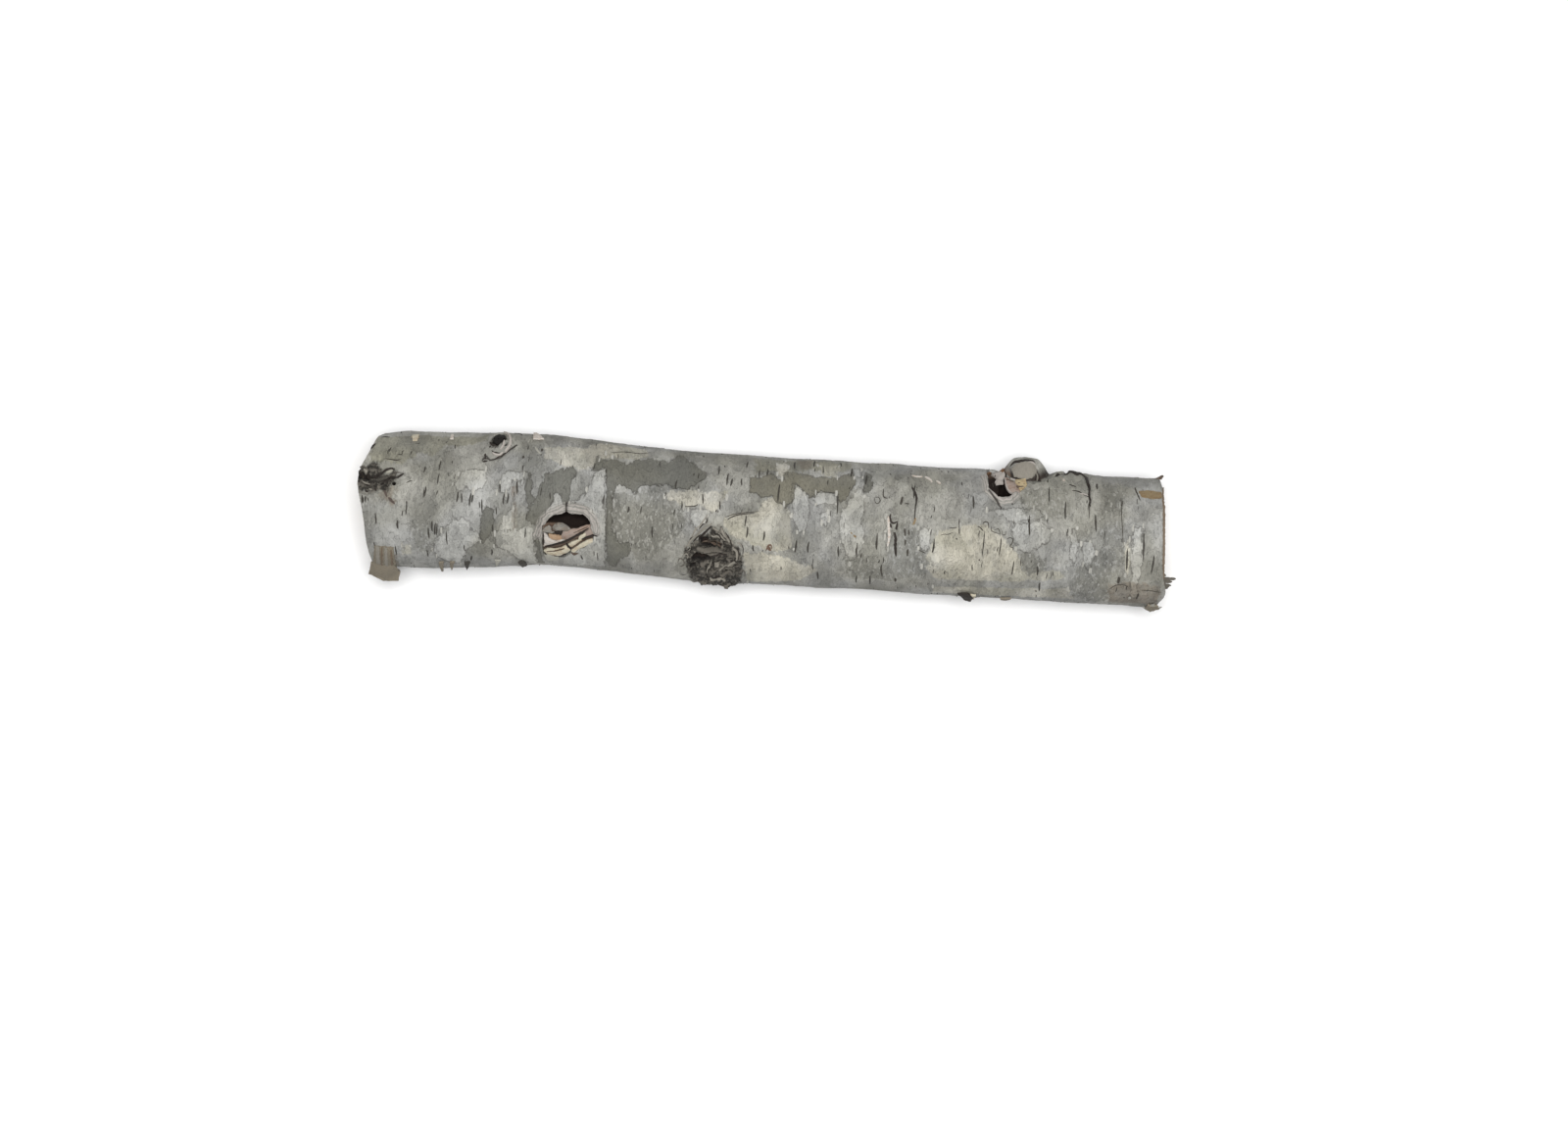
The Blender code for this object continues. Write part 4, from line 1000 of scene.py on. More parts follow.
def make_bark_shell():
    """The bark as a cylinder, finer at the knots, whose points are moved to the bark's surface and relief."""
    bm = plain_cylinder(POINTS_AROUND)
    lengthwise = [e for e in bm.edges if abs(e.verts[0].co.x - e.verts[1].co.x) > 0.5]
    bmesh.ops.subdivide_edges(bm, edges=lengthwise, cuts=RINGS - 1, use_grid_fill=True)
    for boxes in FINER:
        chosen = set()
        for face in [f for f in bm.faces if len(f.verts) == 4 and abs(f.normal.x) < 0.5]:
            x, turn = unit_place(face.verts[0])
            if in_boxes(x, turn * GIRTH_RADIUS, boxes):
                chosen.update(face.edges)
        bmesh.ops.subdivide_edges(bm, edges=list(chosen), cuts=1, use_grid_fill=True)
    ends = [f for f in bm.faces if len(f.verts) > 20]
    bmesh.ops.inset_region(bm, faces=ends, thickness=BARK_THICKNESS / GIRTH_RADIUS, use_even_offset=True)
    inner = {v for f in ends for v in f.verts}
    sunk = bmesh.ops.extrude_discrete_faces(bm, faces=ends)["faces"]
    deep = {v for f in sunk for v in f.verts}
    outer = [v for v in bm.verts if math.hypot(v.co.y, v.co.z) > 0.99]
    spots = np.array([unit_place(v) for v in outer])
    x, around = spots[:, 0], spots[:, 1] * GIRTH_RADIUS
    relief = fine_relief(x, around, read_fields(x, around))
    moved = {}
    for i, v in enumerate(outer):
        moved[v] = place(x[i], around[i], relief[i])
        moved[v].z = max(moved[v].z, 0.0)
    for v in inner | deep:
        px, turn = unit_place(v)
        side = 1 if v.co.x > 0 else -1
        centre = axis_point(px)
        moved[v] = centre + (place(px, turn * GIRTH_RADIUS) - centre) * math.hypot(v.co.y, v.co.z)
        if v in deep:
            moved[v].x = (RIGHT_CUT if side > 0 else LEFT_CUT) - side * RECESS
    for v, spot in moved.items():
        v.co = spot
    bmesh.ops.triangulate(bm, faces=[f for f in bm.faces if len(f.verts) > 4])
    return make_object(bm, "bark")


def ragged(outline, spacing=0.55, jitter=0.28):
    """An outline with points every spacing mm, torn a little in and out."""
    points = []
    for (x0, a0), (x1, a1) in zip(outline, outline[1:] + outline[:1]):
        count = max(int(math.hypot(x1 - x0, a1 - a0) / spacing), 1)
        for i in range(count):
            t = i / count
            x, a = x0 + t * (x1 - x0), a0 + t * (a1 - a0)
            tear = jitter * noise.noise_vector(Vector((0.9 * x, 0.9 * a, 2.0)))
            points.append((x + tear.x, a + tear.y))
    return points


def make_hollow(name, outline, levels):
    """A cutter that goes in from an outline on the bark, level by level."""
    def spot_of(v):
        return round(v.co.x, 4), round(v.co.y, 4)

    points = ragged(outline)
    middle = Vector((sum(p[0] for p in points) / len(points), sum(p[1] for p in points) / len(points)))
    outward = [(Vector(p) - middle).normalized() for p in points]
    bm = bmesh.new()
    ring = [bm.verts.new((p[0], p[1], levels[0].lift)) for p in points]
    faces = bmesh.ops.triangulate(bm, faces=[bm.faces.new(ring)])["faces"]
    for depth, level in enumerate(levels):
        if depth:
            grown = bmesh.ops.extrude_face_region(bm, geom=faces)["geom"]
            if depth > 1:
                bmesh.ops.delete(bm, geom=faces, context="FACES_ONLY")
            faces = [g for g in grown if isinstance(g, bmesh.types.BMFace)]
            by_place = {spot_of(v): v for v in grown if isinstance(v, bmesh.types.BMVert)}
            ring = [by_place[spot_of(v)] for v in ring]
        for i, v in enumerate(ring):
            rough = 0.0
            if depth > 1:
                rough = HOLLOW_ROUGHNESS * noise.noise(Vector((*points[i], 3.0 * depth)))
            spot = Vector(points[i]) + outward[i] * (level.grow + rough)
            v.co = Vector((spot.x, spot.y, level.lift))
    for v in bm.verts:
        v.co = place(*v.co)
    return make_object(bm, name)


def make_beetle_hole():
    bm = bmesh.new()
    bmesh.ops.create_cone(bm, cap_ends=True, segments=14, radius1=BEETLE_HOLE_RADIUS,
                          radius2=BEETLE_HOLE_RADIUS, depth=2 * BEETLE_HOLE_DEPTH)
    bmesh.ops.rotate(bm, verts=bm.verts, matrix=Matrix.Rotation(-BEETLE_HOLE[1] / GIRTH_RADIUS, 3, "X"))
    bmesh.ops.translate(bm, verts=bm.verts, vec=place(*BEETLE_HOLE))
    return make_object(bm, "beetle_hole")


def cut(shell, cutters):
    """Cuts each cutter from the shell in turn, and removes it."""
    for cutter in cutters:
        modifier = shell.modifiers.new(cutter.name, "BOOLEAN")
        modifier.operation = "DIFFERENCE"
        modifier.object = cutter
        modifier.solver = "MANIFOLD"
    bpy.context.view_layer.update()
    graph = bpy.context.evaluated_depsgraph_get()
    made = bpy.data.meshes.new_from_object(shell.evaluated_get(graph))
    shell.modifiers.clear()
    shell.data = made
    for cutter in cutters:
        bpy.data.objects.remove(cutter)


def bark_place(point):
    """(x, around, depth under the bark) of a point in mm."""
    centre = axis_point(point.x)
    turn = math.atan2(point.y - centre.y, point.z - centre.z)
    reach = math.hypot(point.y - centre.y, point.z - centre.z)
    return point.x, turn * GIRTH_RADIUS, bark_radius(point.x, turn) - reach


def dress(piece):
    """Gives every point of a piece in mm the fields that the bark's material reads."""
    spots = np.array([bark_place(v.co) for v in piece.data.vertices])
    fields = read_fields(spots[:, 0], spots[:, 1])
    fields["depth_shade"] = spots[:, 2]
    for name in (*PATCHES, "line", "fold", "lip", "hole", "depth_shade"):
        layer = piece.data.attributes.new(name, "FLOAT", "POINT")
        layer.data.foreach_set("value", fields[name].astype(np.float32))


def finish_piece(piece, material):
    """Scales a piece made in mm to metres, shades it, and ties it to the branch."""
    piece.data.transform(Matrix.Scale(MM, 4))
    piece.data.materials.clear()
    piece.data.materials.append(material)
    piece.data.shade_smooth()
    piece.data.set_sharp_from_angle(angle=SMOOTH_ANGLE)
    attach(piece, BODY)


# Camera, light and floor.

def make_camera():
    data = bpy.data.cameras.new("camera")
    data.sensor_width = SENSOR_WIDTH
    data.lens = SENSOR_WIDTH * CAMERA_RISE / (PHOTO_WIDTH * MM_PER_PIXEL)
    camera = bpy.data.objects.new("camera", data)
    camera.location = Vector((*CAMERA_SPOT, AXIS_HEIGHT + CAMERA_RISE)) * MM
    camera.rotation_euler = (0.0, 0.0, CAMERA_ROLL)
    bpy.context.scene.collection.objects.link(camera)
    bpy.context.scene.camera = camera


LIGHT_SIZE = 0.7
LIGHT_SPOT = (0.05, 0.03, 1.7)
LIGHT_POWER = 40.0
SKY_STRENGTH = 0.17


def make_light():
    data = bpy.data.lights.new("softbox", "AREA")
    data.size = LIGHT_SIZE
    data.energy = LIGHT_POWER
    lamp = bpy.data.objects.new("softbox", data)
    lamp.location = LIGHT_SPOT
    lamp.rotation_euler = Vector(LIGHT_SPOT).to_track_quat("Z", "Y").to_euler()
    bpy.context.scene.collection.objects.link(lamp)
    world = bpy.data.worlds.new("studio")
    world.use_nodes = True
    sky = world.node_tree.nodes["Background"]
    sky.inputs["Color"].default_value = (1.0, 1.0, 1.0, 1.0)
    sky.inputs["Strength"].default_value = SKY_STRENGTH
    bpy.context.scene.world = world
    bpy.context.scene.view_settings.view_transform = "Standard"


FLOOR_SIZE = 12.0
FLOOR_WHITE = 0.8


def make_floor():
    bm = bmesh.new()
    bmesh.ops.create_grid(bm, x_segments=1, y_segments=1, size=FLOOR_SIZE / 2)
    floor = make_object(bm, "floor")
    material = bpy.data.materials.new("white_paper")
    material.use_nodes = True
    shader = material.node_tree.nodes["Principled BSDF"]
    shader.inputs["Base Color"].default_value = (FLOOR_WHITE, FLOOR_WHITE, FLOOR_WHITE, 1.0)
    shader.inputs["Roughness"].default_value = 0.9
    floor.data.materials.append(material)


# Node helpers.

def feed(tree, node, inputs):
    """A node with each of the inputs linked, or set to a value."""
    for key, value in inputs.items():
        if isinstance(value, bpy.types.NodeSocket):
            tree.links.new(value, node.inputs[key])
        else:
            node.inputs[key].default_value = value
    return node


def add(tree, kind, inputs=None, **settings):
    """A new node with its settings and inputs."""
    node = tree.nodes.new(kind)
    for name, value in settings.items():
        setattr(node, name, value)
    return feed(tree, node, inputs or {})


def work(tree, operation, first, second=0.0):
    return add(tree, "ShaderNodeMath", {0: first, 1: second}, operation=operation).outputs[0]


def plus(tree, total, part, weight):
    """total, and weight times part on top of it."""
    return work(tree, "ADD", total, work(tree, "MULTIPLY", part, weight))


def swing(tree, value):
    """How far a noise lies from its middle value."""
    return work(tree, "SUBTRACT", value, 0.5)


def grey(tree, tone):
    """A tone as a colour."""
    return add(tree, "ShaderNodeCombineColor", {0: tone, 1: tone, 2: tone}).outputs[0]


def blend(tree, factor, under, over, way="MIX"):
    """under with over laid on it by factor."""
    node = add(tree, "ShaderNodeMix", {0: factor, 6: under, 7: over}, data_type="RGBA", blend_type=way)
    return node.outputs[2]


def times(tree, colour, tone):
    """A colour multiplied by another one."""
    return blend(tree, 1.0, colour, tone, "MULTIPLY")


def read(tree, name):
    return add(tree, "ShaderNodeAttribute", attribute_name=name).outputs["Fac"]


def fit(tree, value, low, high, to_low=0.0, to_high=1.0):
    """value, stretched smoothly from low and high to to_low and to_high."""
    inputs = {"Value": value, "From Min": low, "From Max": high, "To Min": to_low, "To Max": to_high}
    return add(tree, "ShaderNodeMapRange", inputs, interpolation_type="SMOOTHSTEP").outputs["Result"]


def grain_of(tree, grain, spot=None):
    """A grain on the piece's own coordinates, or on those given."""
    if spot is None:
        spot = add(tree, "ShaderNodeTexCoord").outputs["Object"]
    turned = add(tree, "ShaderNodeMapping", {"Vector": spot, "Scale": grain.stretch, "Location": grain.shift})
    inputs = {"Vector": turned.outputs[0], "Scale": 1.0, "Detail": grain.detail, "Roughness": grain.roughness}
    return add(tree, "ShaderNodeTexNoise", inputs).outputs["Fac"]


def band_of(tree, name, value=None):
    """A grain, or a value given, stretched over its band."""
    return fit(tree, grain_of(tree, GRAINS[name]) if value is None else value, *BANDS[name])


def new_group(name, inputs, outputs):
    """An empty shader group with its sockets, and its input and output nodes."""
    group = bpy.data.node_groups.new(name, "ShaderNodeTree")
    for label, kind, value in inputs:
        socket = group.interface.new_socket(label, in_out="INPUT", socket_type=kind)
        socket.default_value = value
    for label, kind in outputs:
        group.interface.new_socket(label, in_out="OUTPUT", socket_type=kind)
    return group, group.nodes.new("NodeGroupInput"), group.nodes.new("NodeGroupOutput")


# The noises that the materials use: bumps a metre along X, Y and Z, detail, roughness, and a shift that
# makes each its own.
Grain = namedtuple("Grain", "stretch detail roughness shift", defaults=(3.0, 0.6, (0.0, 0.0, 0.0)))
GRAINS = {
    "torn_coarse": Grain((420.0, 230.0, 230.0), 4.0),
    "torn_fine": Grain((1300.0, 620.0, 620.0)),
    "streaks": Grain((1900.0, 330.0, 330.0)),
    "mottle": Grain((260.0, 170.0, 170.0), 4.0, 0.62, (3.0, 1.0, 2.0)),
    "fine": Grain((2400.0, 1500.0, 1500.0), 2.0, 0.5, (5.0, 0.0, 4.0)),
    "flecks": Grain((1500.0, 420.0, 420.0), 2.0, 0.5, (9.0, 7.0, 1.0)),
    "hairs": Grain((2900.0, 105.0, 105.0), 1.0, 0.5, (2.0, 6.0, 8.0)),
    "fibres": Grain((260.0, 2300.0, 2300.0), 4.0, 0.65),
    "stain": Grain((210.0, 520.0, 520.0), 3.0, 0.6, (2.0, 5.0, 3.0)),
    "cloud": Grain((70.0, 60.0, 60.0), 3.0, 0.55, (1.0, 4.0, 2.0)),
    "worn": Grain((300.0, 190.0, 190.0), 4.0, 0.62, (4.0, 4.0, 1.0)),
    "bright": Grain((60.0, 60.0, 60.0), 2.0, 0.5, (8.0, 1.0, 3.0)),
    "flaked": Grain((900.0, 420.0, 420.0), 3.0, 0.6, (5.0, 9.0, 2.0)),
    "tint": Grain((34.0, 42.0, 42.0), 2.0, 0.5, (3.0, 9.0, 5.0)),
    "bend": Grain((300.0, 300.0, 300.0), 2.0, 0.5, (7.0, 3.0, 3.0)),
    "crust": Grain((620.0, 560.0, 560.0), 4.0, 0.7, (2.0, 2.0, 8.0)),
    "wobble": Grain((90.0, 90.0, 90.0)),
    "saw": Grain((40.0, 2200.0, 120.0), 2.0, 0.5),
}

# Where each noise or field begins to count and where it counts fully, and what it then gives if not 0 and 1.
BANDS = {
    "rim": (0.45, 0.05), "flecks": (0.63, 0.70), "hairs": (0.66, 0.74), "brown_fibre": (0.88, 1.12),
    "cloud": (0.36, 0.62), "worn": (0.40, 0.52, 0.72, 1.0), "bright": (0.38, 0.60), "flaked": (0.55, 0.60),
    "tint": (0.40, 0.60), "crust": (0.42, 0.60), "calm": (0.0, 1.0, 1.0, 0.45), "lip": (2.6, 1.2),
    "lip_fold": (-0.9, 0.6), "fold": (0.0, 0.8), "line": (0.0, 0.55), "pit": (-0.4, 0.8),
    "depth_shade": (1.1, 2.0),
    "deep": (2.0, 4.0), "torn": (-1.8, -1.2), "ring": (0.55, 1.0), "pith": (0.0012, 0.0004),
    "rim_stain": (0.017, 0.023),
}

# The sockets that the groups of grain share.
STRENGTH = ("Strength", "NodeSocketFloat", 1.0)
TONE_AND_HEIGHT = (("Tone", "NodeSocketColor"), ("Height", "NodeSocketFloat"))

# How strongly each noise moves a patch's edge, in mm, and the paper's tone and height.
EDGE_TEARS = {"torn_coarse": 4.5, "torn_fine": 2.0}
PAPER_SWINGS = {"streaks": 0.22, "mottle": 0.06, "fine": 0.34}
PAPER_SPOTS = {"flecks": -0.13, "hairs": -0.16}
PAPER_HEIGHTS = {"streaks": 0.8, "fine": 0.5, "flecks": -0.4}

# Torn wood: the weights of its fibres and stains, and its brown streaks.
FIBRE_TONE = 0.7
STAIN_TONE = 0.6
STAIN_IN_BROWN = 0.9
BROWN_STRENGTH = 0.8
BROWN_TINT = (0.62, 0.5, 0.42, 1.0)

# The bark's layers: how ragged and soft each patch's edge is, how strongly each layer covers what is under
# it, how high it stands in the bump, and the two tints that the bark drifts between.
Edge = namedtuple("Edge", "raggedness softness")
PATCH_EDGES = {
    "olive": Edge(1.3, 0.7), "cream": Edge(1.0, 0.4), "pale": Edge(1.0, 0.22), "middle": Edge(1.3, 0.4),
    "dark": Edge(0.9, 0.18), "brown": Edge(1.2, 0.9), "scar": Edge(1.0, 0.7),
}
LAYER_STRENGTH = {
    "olive": 0.85, "pale": 0.9, "middle": 0.85, "brown": 0.7, "dark": 0.92, "flaked": 0.75, "rim": 0.42,
    "lip": 0.85, "fold": 0.6, "line": 0.85,
}
LAYER_BUMPS = {"dark": -0.7, "middle": -0.25, "pale": 0.4, "cream": -0.2}
PAPER_BUMP = 0.35
CRUST_BUMP = 1.6
BARK_BUMP = (0.8, 0.0005)
BARK_ROUGHNESS = 0.78
COOL_TINT = (0.985, 0.993, 1.012, 1.0)
WARM_TINT = (1.015, 1.005, 0.965, 1.0)
LIP_BEND = 11.0
LIP_FOLDS = 6.6

# Pieces in one shade: the group that gives their grain and its settings, their roughness and their bump.
Finish = namedtuple("Finish", "group roughness bump depth settings")
PAPER_FINISH = Finish("paper", 0.8, 0.5, 0.0003, {"Strength": 1.0})
WOOD_FINISH = Finish("fibre", 0.75, 0.6, 0.0004, {"Strength": 0.9, "Turn": (0.0, 0.0, math.radians(-22))})

# The sawn ends' growth rings, stained rim and saw marks.
RINGS_A_METRE = 620.0
RING_WOBBLE = 0.004
RING_STRENGTH = 0.5
RING_BUMP = -0.4
RIM_STAIN_STRENGTH = 0.35
SAW_TONE = 0.3
SAW_BUMP = 0.8
END_BUMP = (0.6, 0.0004)
END_ROUGHNESS = 0.7


def make_edge_group():
    """A patch's field as a mask with the torn, upright edges of peeling bark, and a thin painted shadow line
    at its rim.
    """
    group, given, out = new_group("torn_edge", (("Field", "NodeSocketFloat", 0.0),
                                                ("Raggedness", "NodeSocketFloat", 1.0),
                                                ("Softness", "NodeSocketFloat", 0.3)),
                                  (("Mask", "NodeSocketFloat"), ("Rim Shadow", "NodeSocketFloat")))
    torn = 0.0
    for name, reach in EDGE_TEARS.items():
        torn = plus(group, torn, swing(group, grain_of(group, GRAINS[name])), reach)
    moved = plus(group, given.outputs["Field"], torn, given.outputs["Raggedness"])
    low = work(group, "MULTIPLY", given.outputs["Softness"], -1.0)
    feed(group, out, {"Mask": fit(group, moved, low, given.outputs["Softness"]),
                      "Rim Shadow": band_of(group, "rim", work(group, "ABSOLUTE", moved))})
    return group


# Sheets of bark paper: bumps a metre along X, Y and Z, where the noise is shifted to, the values at which
# one sheet gives way to the next, and how much paler each sheet is than the one under it.
Sheets = namedtuple("Sheets", "stretch shift cuts step")
SHEETS = (
    Sheets((100.0, 58.0, 58.0), (3.0, 8.0, 1.0), (0.44, 0.51, 0.58), 0.12),
    Sheets((240.0, 130.0, 130.0), (6.0, 2.0, 9.0), (0.42, 0.59), 0.11),
    Sheets((800.0, 360.0, 360.0), (1.0, 5.0, 4.0), (0.40, 0.62), 0.06),
)
SHEET_EDGE = 0.0025
# The width and the strength of the painted shadow line along each sheet's edge.
SHEET_RIM = 0.009
SHEET_RIM_SHADOW = 0.9
SHEET_HEIGHT = 0.35
SHEET_LEVEL = 0.95


def make_sheets_group():
    """Sheets of birch paper that peel in upright strips: their tone, with a painted shadow line at each rim,
    and their height.
    """
    group, given, out = new_group("bark_sheets", (STRENGTH,), TONE_AND_HEIGHT)
    tone, height = 0.0, 0.0
    for sheets in SHEETS:
        field = grain_of(group, Grain(sheets.stretch, 4.0, 0.62, sheets.shift))
        for cut_at in sheets.cuts:
            over = fit(group, field, cut_at - SHEET_EDGE, cut_at + SHEET_EDGE)
            from_rim = work(group, "ABSOLUTE", work(group, "SUBTRACT", field, cut_at - SHEET_RIM / 2))
            tone = plus(group, tone, swing(group, over), sheets.step)
            # Painted shadow along the sheet's edge.
            tone = plus(group, tone, fit(group, from_rim, SHEET_RIM, 0.0), -SHEET_RIM_SHADOW * sheets.step)
            height = plus(group, height, over, SHEET_HEIGHT)
    tone = work(group, "ADD", work(group, "MULTIPLY", tone, given.outputs["Strength"]), SHEET_LEVEL)
    feed(group, out, {"Tone": grey(group, tone), "Height": height})
    return group


def make_paper_group():
    """The grain of birch paper: thin streaks around the branch, soft mottling and small dark flecks."""
    group, given, out = new_group("paper_grain", (STRENGTH,), TONE_AND_HEIGHT)
    parts = {name: grain_of(group, GRAINS[name]) for name in PAPER_SWINGS}
    parts.update({name: band_of(group, name) for name in PAPER_SPOTS})
    tone, height = 0.0, 0.0
    for name, weight in PAPER_SWINGS.items():
        tone = plus(group, tone, swing(group, parts[name]), weight)
    for name, weight in PAPER_SPOTS.items():
        tone = plus(group, tone, parts[name], weight)
    for name, weight in PAPER_HEIGHTS.items():
        height = plus(group, height, parts[name], weight)
    tone = work(group, "ADD", work(group, "MULTIPLY", tone, given.outputs["Strength"]), 1.0)
    feed(group, out, {"Tone": grey(group, tone), "Height": height})
    return group


def make_fibre_group():
    """The grain of torn wood and inner bark: long fibres, brown in places, turned from the branch by Turn."""
    turn = ("Turn", "NodeSocketVector", (0.0, 0.0, 0.0))
    group, given, out = new_group("wood_fibre", (STRENGTH, turn), TONE_AND_HEIGHT)
    strength = given.outputs["Strength"]
    spot = add(group, "ShaderNodeTexCoord").outputs["Object"]
    turned = add(group, "ShaderNodeMapping", {"Vector": spot, "Rotation": given.outputs["Turn"]}).outputs[0]
    fibres = grain_of(group, GRAINS["fibres"], turned)
    stain = grain_of(group, GRAINS["stain"], turned)
    brown = band_of(group, "brown_fibre", plus(group, fibres, stain, STAIN_IN_BROWN))
    tone = plus(group, work(group, "MULTIPLY", fibres, FIBRE_TONE), stain, STAIN_TONE)
    tone = work(group, "MULTIPLY", work(group, "SUBTRACT", tone, (FIBRE_TONE + STAIN_TONE) / 2), strength)
    colour = grey(group, work(group, "ADD", tone, 1.0))
    streak = work(group, "MULTIPLY", brown, work(group, "MULTIPLY", strength, BROWN_STRENGTH))
    tone = blend(group, streak, colour, times(group, colour, BROWN_TINT))
    feed(group, out, {"Tone": tone, "Height": fibres})
    return group


def use(tree, group, **inputs):
    """A group's outputs, for the inputs given."""
    node = add(tree, "ShaderNodeGroup", node_tree=group)
    return feed(tree, node, inputs).outputs


def new_material(name, roughness):
    material = bpy.data.materials.new(name)
    material.use_nodes = True
    shader = material.node_tree.nodes["Principled BSDF"]
    shader.inputs["Roughness"].default_value = roughness
    shader.inputs["Specular IOR Level"].default_value = 0.3
    return material, material.node_tree, shader


def set_bump(tree, shader, height, strength, distance):
    bump = add(tree, "ShaderNodeBump", {"Height": height, "Strength": strength, "Distance": distance})
    tree.links.new(bump.outputs["Normal"], shader.inputs["Normal"])


def bark_material(groups):
    """Birch bark: grey paper with pale, dark, cream and olive layers, scars, and cracks and hollows darkened
    by painted shade.
    """
    material, tree, shader = new_material("birch_bark", BARK_ROUGHNESS)
    grain = use(tree, groups["paper"], Strength=1.0)

    def lay(under, factor, name, layer):
        return blend(tree, work(tree, "MULTIPLY", factor, LAYER_STRENGTH[layer]), under, shade(name))

    patches = {name: use(tree, groups["edge"], Field=read(tree, name), Raggedness=edge.raggedness,
                         Softness=edge.softness) for name, edge in PATCH_EDGES.items()}
    masks = {name: patch["Mask"] for name, patch in patches.items()}
    worn = band_of(tree, "worn")
    thin = {name: work(tree, "MULTIPLY", masks[name], worn) for name in ("cream", "pale", "brown")}
    colour = blend(tree, band_of(tree, "cloud"), shade("grey_dark"), shade("grey_light"))
    colour = lay(colour, masks["olive"], "olive", "olive")
    cream = blend(tree, band_of(tree, "bright"), shade("cream_dull"), shade("cream"))
    colour = blend(tree, thin["cream"], colour, cream)
    colour = lay(colour, thin["pale"], "pale", "pale")
    colour = lay(colour, masks["middle"], "middle", "middle")
    colour = lay(colour, thin["brown"], "brown", "brown")
    deep_bark = blend(tree, masks["olive"], shade("dark"), shade("olive_deep"))
    colour = blend(tree, work(tree, "MULTIPLY", masks["dark"], LAYER_STRENGTH["dark"]), colour, deep_bark)
    sheets = use(tree, groups["sheets"], Strength=band_of(tree, "calm", masks["dark"]))
    colour = times(tree, colour, sheets["Tone"])
    flaked = work(tree, "MULTIPLY", band_of(tree, "flaked"), masks["middle"])
    colour = lay(colour, flaked, "grey_light", "flaked")
    # A painted shadow line along the edges of the pale and dark patches.
    for name in ("pale", "dark"):
        colour = lay(colour, work(tree, "MULTIPLY", patches[name]["Rim Shadow"], worn), "line", "rim")
    colour = blend(tree, band_of(tree, "tint"), times(tree, colour, COOL_TINT),
                   times(tree, colour, WARM_TINT))
    colour = times(tree, colour, grain["Tone"])

    # Light and dark bands run round the lips: partly the bark's own layers, partly painted shade of folds
    # that the surface doesn't have.
    lip = read(tree, "lip")
    bent = work(tree, "MULTIPLY", grain_of(tree, GRAINS["bend"]), LIP_BEND)
    folds = work(tree, "SINE", plus(tree, bent, lip, LIP_FOLDS))
    lip_tone = blend(tree, band_of(tree, "lip_fold", folds), shade("grey_dark"), shade("lip"))
    by_lip = work(tree, "MULTIPLY", band_of(tree, "lip", lip), LAYER_STRENGTH["lip"])
    colour = blend(tree, by_lip, colour, lip_tone)

    # The scars are lighter where their crust stands higher in the bump and darker in its crevices, and the
    # raised folds are laid lighter: partly the scars' own tones, partly painted shade and highlight.
    crust = band_of(tree, "crust")
    colour = blend(tree, masks["scar"], colour, blend(tree, crust, shade("scar"), shade("scar_light")))
    colour = lay(colour, band_of(tree, "fold", read(tree, "fold")), "scar_light", "fold")
    # The cracks are laid in near black: painted shade in the grooves.
    colour = lay(colour, band_of(tree, "line", read(tree, "line")), "dark_wood", "line")
    # The pits are laid in near black: painted shade in the hollows.
    colour = blend(tree, band_of(tree, "pit", read(tree, "pit")), colour, shade("pit"))
    # The walls of holes, pockets and pits darken with their depth under the bark: painted shade, brown on the
    # tear's floor and near black deeper in.
    torn = band_of(tree, "torn", read(tree, "hole"))
    floor = blend(tree, torn, shade("depth_shade"), shade("tear_floor_shadow"))
    deep = band_of(tree, "deep", read(tree, "depth_shade"))
    wall = use(tree, groups["fibre"], Strength=1.0)
    shaded_wall = times(tree, blend(tree, deep, floor, shade("depth_shade")), wall["Tone"])
    colour = blend(tree, band_of(tree, "depth_shade", read(tree, "depth_shade")), colour, shaded_wall)
    tree.links.new(colour, shader.inputs["Base Color"])

    height = plus(tree, sheets["Height"], grain["Height"], PAPER_BUMP)
    for name, lift in LAYER_BUMPS.items():
        height = plus(tree, height, masks[name], lift)
    height = plus(tree, height, work(tree, "MULTIPLY", crust, masks["scar"]), CRUST_BUMP)
    set_bump(tree, shader, height, *BARK_BUMP)
    return material


def one_shade_material(groups, name, finish):
    """One shade, with the grain of birch paper or of torn wood."""
    material, tree, shader = new_material(name, finish.roughness)
    grain = use(tree, groups[finish.group], **finish.settings)
    tree.links.new(times(tree, shade(name), grain["Tone"]), shader.inputs["Base Color"])
    set_bump(tree, shader, grain["Height"], finish.bump, finish.depth)
    return material


